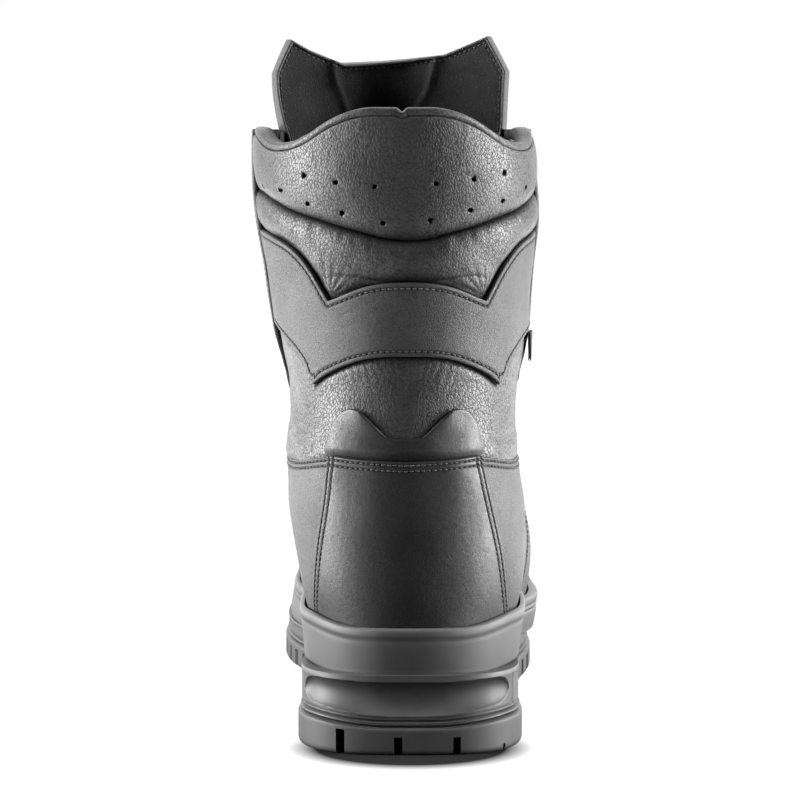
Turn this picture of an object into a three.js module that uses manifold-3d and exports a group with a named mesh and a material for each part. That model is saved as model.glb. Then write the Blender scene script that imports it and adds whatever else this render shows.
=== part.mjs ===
// A right fire boot: black leather lace-up shaft with a padded, vented collar, rubber sole unit,
// steel safety parts inside and a tongue that swings back into the empty shaft.
// Millimetres, +Z up, toe towards +Y, lateral (outer) side towards +X, origin on the ground.
import * as THREE from "three";
import { mergeVertices } from "three/addons/utils/BufferGeometryUtils.js";
import Module from "manifold-3d";

const wasm = await Module();
wasm.setup();

// ---------- driving dimensions ----------
const SOLE_BACK = -155;
const SOLE_FRONT = 155;
const HEEL_LINE = 2.76; // x of the heel's centre line, with the whole boot centred on the origin
const TREAD_TOP = 10; // top of the rubber tread at the heel
const STRIP_TOP = 28.4; // top of the heel wedge
const FEATHER = 31; // lowest level of the leather upper, at the heel
const FLAT_LEVEL = 112; // above this level the level lines are horizontal
const THROAT = 103; // level where the vamp and the quarters end and the shaft begins
const SHAFT_EDGE = 229.5; // top of the shaft at its front
const COUNTER_TOP = 105; // top of the heel counter
const SHAFT_SEAM = -88; // where the facings meet the collar and the band, along the foot
const BINDING = 3; // height of the rolled edge on top of the collar
const COVER_REACH = 28.5; // half width of the heel cover
const GAP = 0.5; // clearance between neighbouring panels, along the surface

// Depths of the layers, measured outwards from the design surface.
const GRAINED = [-2, -0.4];
const SMOOTH = [-1.2, 0.9];
const COVER = [0.3, 1.6];
const RUBBER = [1.5, 3.5];
const STIFFENER = [-4.2, -3.1];
const LINING = [-6.7, -5.3];
const TONGUE_OUTER = [-8.7, -7.5];
const TONGUE_PAD = [-12.5, -9.3];
const TONGUE_LINING = [-14.3, -13.1];

const LACING_EDGE = 17; // from the front centre line to the edge of a facing
const EYELET_LINE = 25; // from the front centre line to the eyelet centres
const EYELET_LEVELS = [109, 118, 129, 142];
const HOOK_LEVELS = [158, 174, 190, 206, 221];
const HINGE = new THREE.Vector3(0, 33, 104); // where the tongue is sewn to the vamp
const TONGUE_START = 1.6; // height of the tongue's lower edge above the throat

// ---------- materials ----------
const finish = (color, roughness, metalness = 0) =>
  new THREE.MeshStandardMaterial({ color, roughness, metalness });
const MATERIAL = {
  smoothLeather: finish(0x2b2b2d, 0.45),
  grainedLeather: finish(0x303032, 0.55),
  suede: finish(0x1c1c1d, 0.95),
  rubber: finish(0x262627, 0.6),
  lining: finish(0x1a1a1b, 0.9),
  foam: finish(0x3c3c3e, 0.95),
  board: finish(0x8a8174, 0.9),
  steel: finish(0x8f9296, 0.35, 1),
  blackMetal: finish(0x1e1e20, 0.35, 0.8),
  label: finish(0x0c0c0d, 0.8),
};

// ---------- curves ----------
// A natural cubic spline through [x, y] knots, held flat beyond its ends.
function spline(knots) {
  const n = knots.length;
  const x = knots.map((k) => k[0]);
  const y = knots.map((k) => k[1]);
  const curve = new Array(n).fill(0);
  const upper = new Array(n).fill(0);
  const rest = new Array(n).fill(0);
  for (let i = 1; i < n - 1; i++) {
    const before = x[i] - x[i - 1];
    const after = x[i + 1] - x[i];
    const bend = 6 * ((y[i + 1] - y[i]) / after - (y[i] - y[i - 1]) / before);
    const pivot = 2 * (before + after) - before * upper[i - 1];
    upper[i] = after / pivot;
    rest[i] = (bend - before * rest[i - 1]) / pivot;
  }
  for (let i = n - 2; i > 0; i--) curve[i] = rest[i] - upper[i] * curve[i + 1];
  return (at) => {
    const v = Math.min(Math.max(at, x[0]), x[n - 1]);
    let i = 0;
    while (i < n - 2 && v > x[i + 1]) i++;
    const h = x[i + 1] - x[i];
    const a = (x[i + 1] - v) / h;
    const b = (v - x[i]) / h;
    const lift = ((a ** 3 - a) * curve[i] + (b ** 3 - b) * curve[i + 1]) * (h * h) / 6;
    return a * y[i] + b * y[i + 1] + lift;
  };
}

const mix = (a, b, t) => a + (b - a) * t;
const clamp01 = (t) => Math.min(Math.max(t, 0), 1);
const smooth = (low, high, v) => {
  const t = clamp01((v - low) / (high - low));
  return t * t * (3 - 2 * t);
};

// Height of the feather line, where the upper meets the sole, along the foot.
const featherHeight = spline([
  [-155, 31], [-100, 30.5], [-60, 28.5], [-20, 24], [20, 20.5],
  [50, 19.5], [80, 20.5], [110, 24], [135, 28.5], [155, 33],
]);
// Underside of the tread: flat to the ball of the foot, then the toe spring.
const groundHeight = (y) => 13 * Math.max(0, (y - 68) / 87) ** 1.8;

// ---------- plan outlines ----------
// Half a level line of the upper or the sole, from the back centre to the front centre:
// a rounded back, a side that follows the width curve, and a rounded front.
function halfOutline(shape, side, steps = 36) {
  const points = [];
  const at = (y, share) => [
    shape.centre(y) + side * shape.width(y, side) * share, y,
  ];
  const backCentre = shape.back + shape.backLength;
  const frontCentre = shape.front - shape.frontLength;
  for (let i = 0; i <= steps; i++) {
    const a = (i / steps) * (Math.PI / 2);
    const y = backCentre - shape.backLength * Math.cos(a) ** (2 / shape.backPower);
    points.push(at(y, Math.sin(a) ** (2 / shape.backPower)));
  }
  const middle = 12;
  for (let i = 1; i < middle; i++) points.push(at(mix(backCentre, frontCentre, i / middle), 1));
  for (let i = 0; i <= steps; i++) {
    const a = (i / steps) * (Math.PI / 2);
    const y = frontCentre + shape.frontLength * Math.sin(a) ** (2 / shape.frontPower);
    points.push(at(y, Math.max(0, Math.cos(a)) ** (2 / shape.frontPower)));
  }
  return points;
}

// The same outline as a function of u, the share of its length from the back to the front.
function measured(points) {
  const length = [0];
  for (let i = 1; i < points.length; i++) {
    const dx = points[i][0] - points[i - 1][0];
    const dy = points[i][1] - points[i - 1][1];
    length.push(length[i - 1] + Math.hypot(dx, dy));
  }
  const total = length[length.length - 1];
  return {
    total,
    at(u) {
      const goal = clamp01(u) * total;
      let i = 0;
      while (i < points.length - 2 && goal > length[i + 1]) i++;
      const t = (goal - length[i]) / Math.max(length[i + 1] - length[i], 1e-9);
      return [mix(points[i][0], points[i + 1][0], t), mix(points[i][1], points[i + 1][1], t)];
    },
  };
}

// ---------- design surface of the upper ----------
const backLine = spline([
  [31, -148], [50, -149.5], [70, -150], [90, -148.5], [110, -146.2],
  [130, -144.8], [155, -145.2], [180, -147.5], [205, -149.5], [230, -150], [270, -149],
]);
const ridgeLine = spline([
  [31, 148.5], [41, 150], [50, 149.3], [58, 146.3], [65, 140.3], [70, 132], [75.5, 118],
  [82, 96], [89, 72], [99, 46], [112, 23], [128, 4], [148, -11], [170, -20.5],
  [195, -27], [220, -31], [240, -33], [270, -37],
]);
const shaftWidth = spline([
  [31, 37], [45, 38.3], [56, 41], [72, 43.4], [92, 44.7], [105, 44], [118, 42.9], [128, 43.4],
  [141, 45.3], [153, 47.2], [168, 48.5], [187, 51.2], [205, 52.6], [225, 52], [240, 51.5],
  [270, 52.5],
]);
const footWidth = {
  lateral: spline([
    [-150, 0.5], [-105, 1], [-65, -0.5], [-30, 2.5], [0, 7], [30, 10.8], [55, 11.2],
    [85, 9.2], [115, 6], [150, 1.5],
  ]),
  medial: spline([
    [-150, 0], [-105, -0.5], [-70, -3], [-35, -6], [0, -3], [30, 4.5], [60, 10.4],
    [85, 11.4], [115, 10.2], [150, 7],
  ]),
};
const footShare = spline([[31, 1], [44, 0.92], [58, 0.7], [74, 0.38], [90, 0.08], [104, 0]]);
const noseLength = spline([
  [31, 92], [50, 96], [65, 102], [76, 105], [86, 100], [99, 92], [112, 86],
  [128, 80], [148, 74], [170, 69], [195, 66], [220, 64], [270, 63],
]);
const heelLength = spline([[31, 44], [60, 46], [90, 50], [120, 52], [150, 54], [200, 55], [270, 55]]);
const nosePower = spline([[31, 2.3], [60, 2.25], [80, 2.06], [100, 2], [200, 2.04], [270, 2.04]]);
const heelPower = spline([[31, 2.35], [60, 2.3], [100, 2.2], [130, 2.12], [200, 2.16], [270, 2.16]]);
// The shaft leans to the inside, and its front turns a little to the inside too.
const backLean = spline([
  [31, 0], [60, -0.3], [106, -1.6], [120, -1.8], [136, -1], [167, -0.7], [200, -1.4], [236, -2.9],
  [270, -3.2],
]);
const shaftTurn = spline([
  [31, 0], [72, 0.012], [90, -0.008], [105, -0.022], [130, -0.018], [152, -0.04], [175, -0.06],
  [270, -0.06],
]);
const toeSwing = (y) => -6.5 * clamp01((y - 55) / 95) ** 1.8;

function levelShape(level) {
  const turn = shaftTurn(level);
  const swing = 1 - smooth(75, 110, level);
  return {
    back: backLine(level),
    front: ridgeLine(level),
    backLength: heelLength(level),
    frontLength: noseLength(level),
    backPower: heelPower(level),
    frontPower: nosePower(level),
    centre: (y) => HEEL_LINE + backLean(level) + turn * (y + 150) + swing * toeSwing(y),
    width: (y, side) =>
      shaftWidth(level) +
      footShare(level) * (side > 0 ? footWidth.lateral(y) : footWidth.medial(y)),
  };
}

const lines = new Map();
function levelLine(level, side) {
  const key = `${side}:${level.toFixed(3)}`;
  if (!lines.has(key)) lines.set(key, measured(halfOutline(levelShape(level), side)));
  return lines.get(key);
}

// A point of the design surface. u runs from 0 at the back centre to 1 at the front centre on
// the lateral side, and on from 1 to 2 back to the back centre on the medial side.
function surfacePoint(u, level) {
  const turn = ((u % 2) + 2) % 2;
  const side = turn <= 1 ? 1 : -1;
  const [x, y] = levelLine(level, side).at(side > 0 ? turn : 2 - turn);
  const fade = 1 - smooth(FEATHER, FLAT_LEVEL, level);
  return new THREE.Vector3(x, y, level + (featherHeight(y) - FEATHER) * fade);
}

function surfaceNormal(u, level) {
  const du = 0.004;
  const dl = 0.6;
  const along = surfacePoint(u + du, level).sub(surfacePoint(u - du, level));
  const up = surfacePoint(u, level + dl).sub(surfacePoint(u, level - dl));
  return along.cross(up).normalize();
}

const offsetPoint = (u, level, depth) =>
  surfacePoint(u, level).addScaledVector(surfaceNormal(u, level), depth);

// u at a distance along the level line from the front centre, positive on the lateral side.
const fromFront = (arc, level) => 1 - arc / levelLine(level, arc >= 0 ? 1 : -1).total;
// Share of a level line, from the back centre, where measure(point) first passes a value.
function shareWhere(level, side, measure, value, end = 1) {
  let low = 0;
  let high = end;
  for (let i = 0; i < 26; i++) {
    const share = (low + high) / 2;
    if (measure(levelLine(level, side).at(share)) < value) low = share;
    else high = share;
  }
  return low;
}
const shareAtY = (y, level, side) => shareWhere(level, side, (p) => p[1], y);
const shareAtX = (x, level, side) => {
  const middle = HEEL_LINE + backLean(level);
  return shareWhere(level, side, (p) => side * (p[0] - middle), x, 0.2);
};

// ---------- solids ----------
function geometryOf(points, faces) {
  const geometry = new THREE.BufferGeometry();
  geometry.setAttribute(
    "position",
    new THREE.Float32BufferAttribute(points.flatMap((p) => [p.x, p.y, p.z]), 3),
  );
  geometry.setIndex(faces.flat());
  return geometry;
}

// A panel of even thickness on the design surface. place(s, t) gives [u, level] for shares s, t.
function panel(place, columns, rows, depths) {
  const points = [];
  for (const face of [1, 0]) {
    for (let j = 0; j <= rows; j++) {
      for (let i = 0; i <= columns; i++) {
        const s = i / columns;
        const t = j / rows;
        const [u, level] = place(s, t);
        points.push(offsetPoint(u, level, depths[face]));
      }
    }
  }
  return geometryOf(points, closedGrid(columns, rows));
}

// The faces of two stacked grids joined round their rims.
function closedGrid(columns, rows) {
  const wide = columns + 1;
  const layer = wide * (rows + 1);
  const faces = [];
  const quad = (a, b, c, d) => faces.push([a, b, c], [a, c, d]);
  for (let j = 0; j < rows; j++) {
    for (let i = 0; i < columns; i++) {
      const a = j * wide + i;
      quad(a, a + 1, a + 1 + wide, a + wide);
      quad(layer + a, layer + a + wide, layer + a + 1 + wide, layer + a + 1);
    }
  }
  for (let i = 0; i < columns; i++) {
    const top = rows * wide + i;
    quad(i, layer + i, layer + i + 1, i + 1);
    quad(top, top + 1, layer + top + 1, layer + top);
  }
  for (let j = 0; j < rows; j++) {
    const a = j * wide;
    const b = a + columns;
    quad(a, a + wide, layer + a + wide, layer + a);
    quad(b, layer + b, layer + b + wide, b + wide);
  }
  return faces;
}

// A stack of closed rings with the same number of points, capped by strips across the ring.
function loft(rings) {
  const n = rings[0].length;
  const points = rings.flat();
  const faces = [];
  for (let k = 0; k < rings.length - 1; k++) {
    for (let i = 0; i < n; i++) {
      const a = k * n + i;
      const b = k * n + ((i + 1) % n);
      faces.push([a, b, b + n], [a, b + n, a + n]);
    }
  }
  const last = (rings.length - 1) * n;
  for (let i = 0; i < n / 2; i++) {
    const a = i;
    const b = i + 1;
    const c = (n - i - 1) % n;
    const d = (n - i) % n;
    if (i > 0) faces.push([a, d, b], [last + a, last + b, last + d]);
    if (c !== b) faces.push([b, d, c], [last + b, last + c, last + d]);
  }
  return geometryOf(points, faces);
}

const toSolid = (geometry) => {
  const bare = geometry.index ? geometry.toNonIndexed() : geometry.clone();
  bare.deleteAttribute("normal");
  bare.deleteAttribute("uv");
  const merged = mergeVertices(bare, 1e-4);
  return new wasm.Manifold(
    new wasm.Mesh({
      numProp: 3,
      vertProperties: merged.attributes.position.array,
      triVerts: new Uint32Array(merged.index.array),
    }),
  );
};
const fromSolid = (solid) => {
  const mesh = solid.getMesh();
  const geometry = new THREE.BufferGeometry();
  geometry.setAttribute("position", new THREE.BufferAttribute(mesh.vertProperties.slice(), 3));
  geometry.setIndex(new THREE.BufferAttribute(mesh.triVerts.slice(), 1));
  return geometry;
};

const boot = new THREE.Group();
boot.name = "fire_boot";
function add(name, geometry, material, parent = boot) {
  const mesh = new THREE.Mesh(geometry, material);
  mesh.name = name;
  parent.add(mesh);
  return mesh;
}

// ---------- sole unit ----------
const soleWidth = {
  lateral: spline([
    [-155, 42], [-115, 42.4], [-75, 41.2], [-35, 41.5], [0, 46], [30, 51.3], [50, 52.5],
    [75, 51.3], [110, 47.5], [155, 42],
  ]),
  medial: spline([
    [-155, 42], [-115, 42], [-80, 39.2], [-45, 33.8], [-15, 33.8], [15, 41.5], [42, 50],
    [65, 53.5], [85, 54], [110, 52], [155, 48],
  ]),
};
const SOLE_POINTS = 64;
// The sole's outline moved inwards by inset, as a ring at height(y).
function soleRing(inset, height, count = SOLE_POINTS) {
  const shape = {
    back: SOLE_BACK + inset,
    front: SOLE_FRONT - inset,
    backLength: 40 - inset * 0.6,
    frontLength: 98 - inset * 0.6,
    backPower: 2.75,
    frontPower: 2.35,
    centre: (y) => HEEL_LINE + toeSwing(y),
    width: (y, side) => (side > 0 ? soleWidth.lateral(y) : soleWidth.medial(y)) - inset,
  };
  const halves = [1, -1].map((side) => measured(halfOutline(shape, side)));
  const ring = [];
  for (let i = 0; i < count; i++) {
    const u = i / (count / 2);
    const [x, y] = u <= 1 ? halves[0].at(u) : halves[1].at(2 - u);
    ring.push(new THREE.Vector3(x, y, height(y)));
  }
  return ring;
}

const box = (sx, sy, sz, x, y, z, turn = 0) => {
  const geometry = new THREE.BoxGeometry(sx, sy, sz);
  geometry.rotateZ(turn);
  geometry.translate(x, y, z);
  return toSolid(geometry);
};

function outsole() {
  let tread = toSolid(
    loft([
      soleRing(1.2, (y) => groundHeight(y)),
      soleRing(0, (y) => groundHeight(y) + 2.5),
      soleRing(0, (y) => groundHeight(y) + TREAD_TOP - 0.4),
    ]),
  );
  // The waist between heel and forefoot stands clear of the ground.
  const waist = new THREE.Shape([
    new THREE.Vector2(-76, -1), new THREE.Vector2(-70, 5.5),
    new THREE.Vector2(-36, 5.5), new THREE.Vector2(-30, -1),
  ]);
  const cutter = new THREE.ExtrudeGeometry(waist, { depth: 140, bevelEnabled: false });
  cutter.applyMatrix4(
    new THREE.Matrix4().makeBasis(
      new THREE.Vector3(0, 1, 0), new THREE.Vector3(0, 0, 1), new THREE.Vector3(1, 0, 0),
    ),
  );
  cutter.translate(-70, 0, 0);
  tread = tread.subtract(toSolid(cutter));
  // Slots in the rear edge of the heel.
  for (const [x, wide, tall] of [[-25.8, 3.2, 8.4], [-4.4, 2.8, 6.8], [17.3, 2.6, 6.4]])
    tread = tread.subtract(box(wide, 12, tall, HEEL_LINE + x, SOLE_BACK + 4, tall / 2 - 0.01));
  // Slots in the side edges, square to the outline.
  const edge = soleRing(0, () => 0, 256);
  for (const [side, stations] of [
    [1, [-118, -98, -18, -4, 10, 24, 38, 52, 66, 80, 96, 112, 128]],
    [-1, [-118, -98, -14, 4, 22, 38, 54, 70, 86, 102, 118, 132]],
  ]) {
    for (const y of stations) {
      const near = edge
        .map((p, i) => ({ p, i, d: Math.abs(p.y - y) + (Math.sign(p.x) === side ? 0 : 999) }))
        .sort((a, b) => a.d - b.d)[0];
      const next = edge[(near.i + 1) % edge.length];
      const turn = Math.atan2(next.y - near.p.y, next.x - near.p.x);
      const z = groundHeight(y);
      tread = tread.subtract(box(3, 17, 6.5, near.p.x, near.p.y, z + 3.24, turn));
    }
  }
  // Recessed lanes inside the row of edge lugs.
  const lane = (x, y, sx, sy, turn = 0) =>
    box(sx, sy, 5, HEEL_LINE + x, y, groundHeight(Math.max(y - sy / 2, 0)) + 2.49, turn);
  for (const y of [-134, -112, -92]) tread = tread.subtract(lane(-0.5, y, 46, 5));
  for (const x of [-24, 23]) tread = tread.subtract(lane(x, -113, 5, 47));
  for (const y of [-16, 8, 32, 56]) {
    tread = tread.subtract(lane(-18, y, 5, 36, -1.05));
    tread = tread.subtract(lane(14, y, 5, 36, 1.05));
  }
  return fromSolid(tread);
}

function midsole() {
  const top = (y) => Math.min(STRIP_TOP, featherHeight(y) - 3.6);
  const low = (y) => groundHeight(y) + TREAD_TOP;
  const at = (share) => (y) => mix(low(y), top(y), share);
  return loft([
    soleRing(0.2, low), soleRing(0.2, at(0.18)), soleRing(1.8, at(0.24)), soleRing(4, at(0.45)),
    soleRing(3.4, at(0.7)), soleRing(1.8, at(0.8)), soleRing(2.2, top),
  ]);
}

// A flat-bottomed board under the foot, following the feather line, with inset edges.
function board(inset, from, to, count = 40) {
  return loft([
    soleRing(inset, (y) => featherHeight(y) + from, count),
    soleRing(inset, (y) => featherHeight(y) + to, count),
  ]);
}

function shank() {
  const points = [];
  for (const side of [-1, 1]) {
    for (const lift of [-3.3, -2.1]) {
      for (const y of [-110, -85, -60, -35, -12]) {
        points.push(new THREE.Vector3(HEEL_LINE + 2 + side * 8, y, featherHeight(y) + lift));
      }
    }
  }
  const at = (side, layer, i) => (side * 2 + layer) * 5 + i;
  const faces = [];
  const quad = (a, b, c, d) => faces.push([a, b, c], [a, c, d]);
  for (let i = 0; i < 4; i++) {
    quad(at(0, 1, i), at(1, 1, i), at(1, 1, i + 1), at(0, 1, i + 1));
    quad(at(0, 0, i), at(0, 0, i + 1), at(1, 0, i + 1), at(1, 0, i));
    quad(at(0, 0, i), at(0, 1, i), at(0, 1, i + 1), at(0, 0, i + 1));
    quad(at(1, 0, i), at(1, 0, i + 1), at(1, 1, i + 1), at(1, 1, i));
  }
  quad(at(0, 0, 0), at(1, 0, 0), at(1, 1, 0), at(0, 1, 0));
  quad(at(0, 0, 4), at(0, 1, 4), at(1, 1, 4), at(1, 0, 4));
  return geometryOf(points, faces);
}

add("outsole", outsole(), MATERIAL.rubber);
add("midsole", midsole(), MATERIAL.rubber);
add("shank", shank(), MATERIAL.steel);
add("puncture_plate", board(9.5, -1.7, -0.7), MATERIAL.steel);
add("insole_board", board(11.5, 0.4, 2.6), MATERIAL.board);
add("footbed", board(15.5, 3.2, 7.2), MATERIAL.lining);


// ---------- seams of the upper ----------
const vampSeam = spline([[31, -16], [55, -2], [80, 14], [103, 24]]); // y by level
const facingBack = spline([[103, -22], [118, -44], [134, -72], [150, SHAFT_SEAM], [235, SHAFT_SEAM]]);
const counterSeam = spline([[31, 33.5], [45, 35], [75, 32.5], [106, 29]]); // x by level
const bandLow = spline([[0, 145.8], [22, 143], [42, 134.4], [60, 141], [80, 149], [110, 153]]);
const bandTop = spline([[0, 173.3], [20, 171.5], [32, 167], [42, 178], [56, 185.5], [110, 191]]);
const collarLow = spline([[0, 189.1], [30, 191.6], [60, 199], [85, 205], [110, 206]]);
const collarTop = spline([
  [0, 235.6], [13, 237], [26, 235.8], [42, 230.5], [58, 224.6], [76, 225.3], [110, SHAFT_EDGE],
]);
const coverTop = spline([[0, 115.3], [8, 117], [13, 123.5], [17, 125.4], [22, 120], [31, 109.5]]);

// Panels round the back, between two heights that follow the distance from the back centre.
// reach(level, side) is the share of the level line where the panel ends.
function backPanel(low, top, reach, columns, rows, depths) {
  return panel(
    (s, t) => {
      const side = s < 0.5 ? -1 : 1;
      const share = Math.abs(2 * s - 1);
      const arc = share * reach(150, side) * levelLine(150, side).total;
      const level = mix(low(arc), top(arc), t);
      return [side * share * reach(level, side), level];
    },
    columns, rows, depths,
  );
}
// Panels on one side, between two shares that follow the level.
function sidePanel(side, low, top, back, front, columns, rows, depths) {
  return panel(
    (s, t) => {
      const level = mix(low, top, t);
      const ends = [back(level, side), front(level, side)];
      return [side > 0 ? mix(ends[0], ends[1], s) : 2 - mix(ends[1], ends[0], s), level];
    },
    columns, rows, depths,
  );
}
// Panels round the front, from one share on the lateral side to its match on the medial side.
function frontPanel(low, top, back, columns, rows, depths) {
  return panel(
    (s, t) => {
      const rise = typeof top === "function" ? top(Math.abs(2 * s - 1)) : top;
      const level = mix(low, rise, t);
      return [mix(back(level, 1), 2 - back(level, -1), s), level];
    },
    columns, rows, depths,
  );
}
const sides = [["lateral", 1], ["medial", -1]];
const gapShare = (level, side) => GAP / levelLine(level, side).total;

// ---------- foot part of the upper ----------
const vampBack = (level, side) => shareAtY(vampSeam(level), level, side);
const counterEdge = (level, side) => shareAtX(counterSeam(level), level, side);
const facingEdge = (level, side) => 1 - LACING_EDGE / levelLine(level, side).total;
const facingRear = (level, side) => shareAtY(facingBack(level), level, side);

add("vamp", frontPanel(FEATHER, THROAT, vampBack, 28, 9, GRAINED), MATERIAL.smoothLeather);
for (const [name, side] of sides) {
  const back = (level) => counterEdge(level, side) + gapShare(level, side);
  const front = (level) => vampBack(level, side) - gapShare(level, side);
  const shape = sidePanel(side, FEATHER, THROAT, back, front, 9, 8, GRAINED);
  add(`quarter_${name}`, shape, MATERIAL.smoothLeather);
}
add(
  "heel_counter",
  panel(
    (s, t) => {
      const level = mix(FEATHER, COUNTER_TOP, t);
      const side = s < 0.5 ? -1 : 1;
      return [(2 * s - 1) * counterEdge(level, side), level];
    },
    12, 7, SMOOTH,
  ),
  MATERIAL.smoothLeather,
);

// ---------- shaft ----------
const shaftReach = (level, side) => facingRear(level, side) - 2.5 * gapShare(level, side);
const flat = (value) => () => value;
const lower = (curve) => (arc) => curve(arc) - GAP;
const raise = (curve) => (arc) => curve(arc) + GAP;
add(
  "ankle_panel",
  backPanel(flat(COUNTER_TOP + GAP), lower(bandLow), shaftReach, 34, 4, GRAINED),
  MATERIAL.grainedLeather,
);
add("back_band", backPanel(bandLow, bandTop, shaftReach, 34, 3, SMOOTH), MATERIAL.smoothLeather);
add(
  "shaft_roll",
  backPanel(raise(bandTop), lower(collarLow), shaftReach, 30, 3, GRAINED),
  MATERIAL.grainedLeather,
);
add(
  "collar",
  backPanel(collarLow, (arc) => collarTop(arc) - BINDING - GAP, shaftReach, 30, 4, GRAINED),
  MATERIAL.grainedLeather,
);
add(
  "collar_binding",
  backPanel((arc) => collarTop(arc) - BINDING, collarTop, shaftReach, 30, 1, [-6.4, -0.2]),
  MATERIAL.grainedLeather,
);
add(
  "heel_cover",
  panel(
    (s, t) => {
      const x = (2 * s - 1) * COVER_REACH;
      const level = mix(COUNTER_TOP + GAP, coverTop(Math.abs(x)), t);
      return [Math.sign(x) * shareAtX(Math.abs(x), level, x < 0 ? -1 : 1), level];
    },
    18, 3, COVER,
  ),
  MATERIAL.smoothLeather,
);
for (const [name, side] of sides) {
  const shape = sidePanel(side, THROAT + GAP, SHAFT_EDGE, facingRear, facingEdge, 7, 12, SMOOTH);
  add(`facing_${name}`, shape, MATERIAL.smoothLeather);
}

// ---------- rubber round the leather ----------
const randReach = (level, side) => shareAtY(-46 + 0.9 * (level - 31), level, side);
add(
  "heel_rand",
  panel(
    (s, t) => {
      const side = s < 0.5 ? -1 : 1;
      const share = Math.abs(2 * s - 1);
      const level = mix(28.6, 46.6 + 3.5 * smooth(0.45, 0.75, share), t);
      return [side * share * randReach(Math.max(level, FEATHER), side), level];
    },
    30, 2, RUBBER,
  ),
  MATERIAL.rubber,
);
const bumperReach = (level, side) => shareAtY(side > 0 ? -30 : -10, level, side);
const bumperTop = (share) => mix(64, 44, smooth(0.25, 0.6, share)) - 6 * smooth(0.85, 1, share);
add("toe_bumper", frontPanel(29, bumperTop, bumperReach, 34, 3, RUBBER), MATERIAL.rubber);

// ---------- stiffeners, padding and lining ----------
const capBack = (level, side) => shareAtY(88, level, side);
add("safety_toe_cap", frontPanel(34.5, 80, capBack, 16, 6, STIFFENER), MATERIAL.steel);
const stiffenerReach = (level, side) => shareAtY(-72, level, side);
add(
  "heel_stiffener",
  backPanel(flat(34.5), flat(92), stiffenerReach, 16, 4, STIFFENER),
  MATERIAL.board,
);
add(
  "ankle_padding",
  backPanel(flat(94), (arc) => collarLow(arc) - 4, stiffenerReach, 18, 7, STIFFENER),
  MATERIAL.foam,
);
add(
  "collar_padding",
  backPanel(
    (arc) => collarLow(arc) - 2, (arc) => collarTop(arc) - BINDING - 2, stiffenerReach,
    20, 2, STIFFENER,
  ),
  MATERIAL.foam,
);
const LINING_BASE = 36.5;
const liningSeam = (level, side) => shareAtY(-70, level, side);
add(
  "heel_lining",
  backPanel(flat(LINING_BASE), flat(THROAT), liningSeam, 18, 4, LINING),
  MATERIAL.lining,
);
add(
  "collar_lining",
  backPanel(
    flat(THROAT + GAP), (arc) => collarTop(arc) - BINDING - 1.6, liningSeam, 24, 6, LINING,
  ),
  MATERIAL.lining,
);
add(
  "vamp_lining",
  frontPanel(LINING_BASE, THROAT, vampBack, 22, 6, LINING),
  MATERIAL.lining,
);
for (const [name, side] of sides) {
  const back = (level) => liningSeam(level, side) + gapShare(level, side);
  const foot = (level) => vampBack(level, side) - gapShare(level, side);
  const edge = (level) => 1 - (LACING_EDGE + 2) / levelLine(level, side).total;
  add(
    `quarter_lining_${name}`,
    sidePanel(side, LINING_BASE, THROAT, back, foot, 6, 5, LINING),
    MATERIAL.lining,
  );
  add(
    `shaft_lining_${name}`,
    sidePanel(side, THROAT + GAP, SHAFT_EDGE - 1, back, edge, 7, 8, LINING),
    MATERIAL.lining,
  );
}

// ---------- tongue ----------
// Half width along the curve, by level, and the height of the top edge across the tongue.
const tongueHalf = spline([
  [104, 25], [125, 31], [150, 37], [180, 45], [205, 53], [225, 58], [252, 60], [266, 60],
]);
const tongueTop = spline([
  [0, 256.3], [0.35, 256.4], [0.52, 257.5], [0.72, 262.5], [0.82, 264.8], [0.9, 259.5], [1, 251.5],
]);
const tongue = new THREE.Group();
tongue.position.copy(HINGE);
boot.add(tongue);
function tongueLayer(inset, depths) {
  const layer = panel(
    (s, t) => {
      const share = 1 - 2 * s;
      const level = mix(THROAT + TONGUE_START + inset, tongueTop(Math.abs(share)) - inset, t);
      return [fromFront(share * (tongueHalf(level) - inset), level), level];
    },
    20, 10, depths,
  );
  return layer.translate(-HINGE.x, -HINGE.y, -HINGE.z);
}
add("tongue_outer", tongueLayer(0, TONGUE_OUTER), MATERIAL.smoothLeather, tongue);
add("tongue_padding", tongueLayer(1.5, TONGUE_PAD), MATERIAL.foam, tongue);
add("tongue_lining", tongueLayer(0, TONGUE_LINING), MATERIAL.suede, tongue);

// ---------- eyelets, hooks and label ----------
// Moves a piece from its own axes (across, up the facing, outwards) to a point of the surface.
function seat(geometry, arc, level, depth) {
  const u = fromFront(arc, level);
  const out = surfaceNormal(u, level);
  const up = surfacePoint(u, level + 1).sub(surfacePoint(u, level - 1));
  up.addScaledVector(out, -up.dot(out)).normalize();
  const across = up.clone().cross(out);
  const place = new THREE.Matrix4().makeBasis(across, up, out);
  place.setPosition(offsetPoint(u, level, depth));
  return geometry.applyMatrix4(place);
}
const ringProfile = [[2.3, 0], [4.4, 0], [4.2, 0.7], [3.3, 1.1], [2.5, 0.8], [2.3, 0]];
function eyelet() {
  const shape = new THREE.LatheGeometry(ringProfile.map((p) => new THREE.Vector2(...p)), 12);
  shape.rotateX(Math.PI / 2);
  return shape;
}
const hookProfile = [
  [-4, 0], [4.4, 0], [4.4, 0.9], [-1.3, 0.9], [-1.3, 3.9], [4, 4.6], [4.2, 5.6], [-2.3, 5],
  [-2.6, 0.9], [-4, 0.9],
];
function hook(side) {
  const outline = new THREE.Shape(hookProfile.map((p) => new THREE.Vector2(...p)));
  const shape = new THREE.ExtrudeGeometry(outline, { depth: 6.4, bevelEnabled: false });
  shape.translate(0, 0, -3.2);
  shape.rotateX(Math.PI / 2);
  if (side > 0) shape.rotateZ(Math.PI);
  return shape;
}
const HARDWARE_DEPTH = SMOOTH[1] + 0.6;
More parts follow.
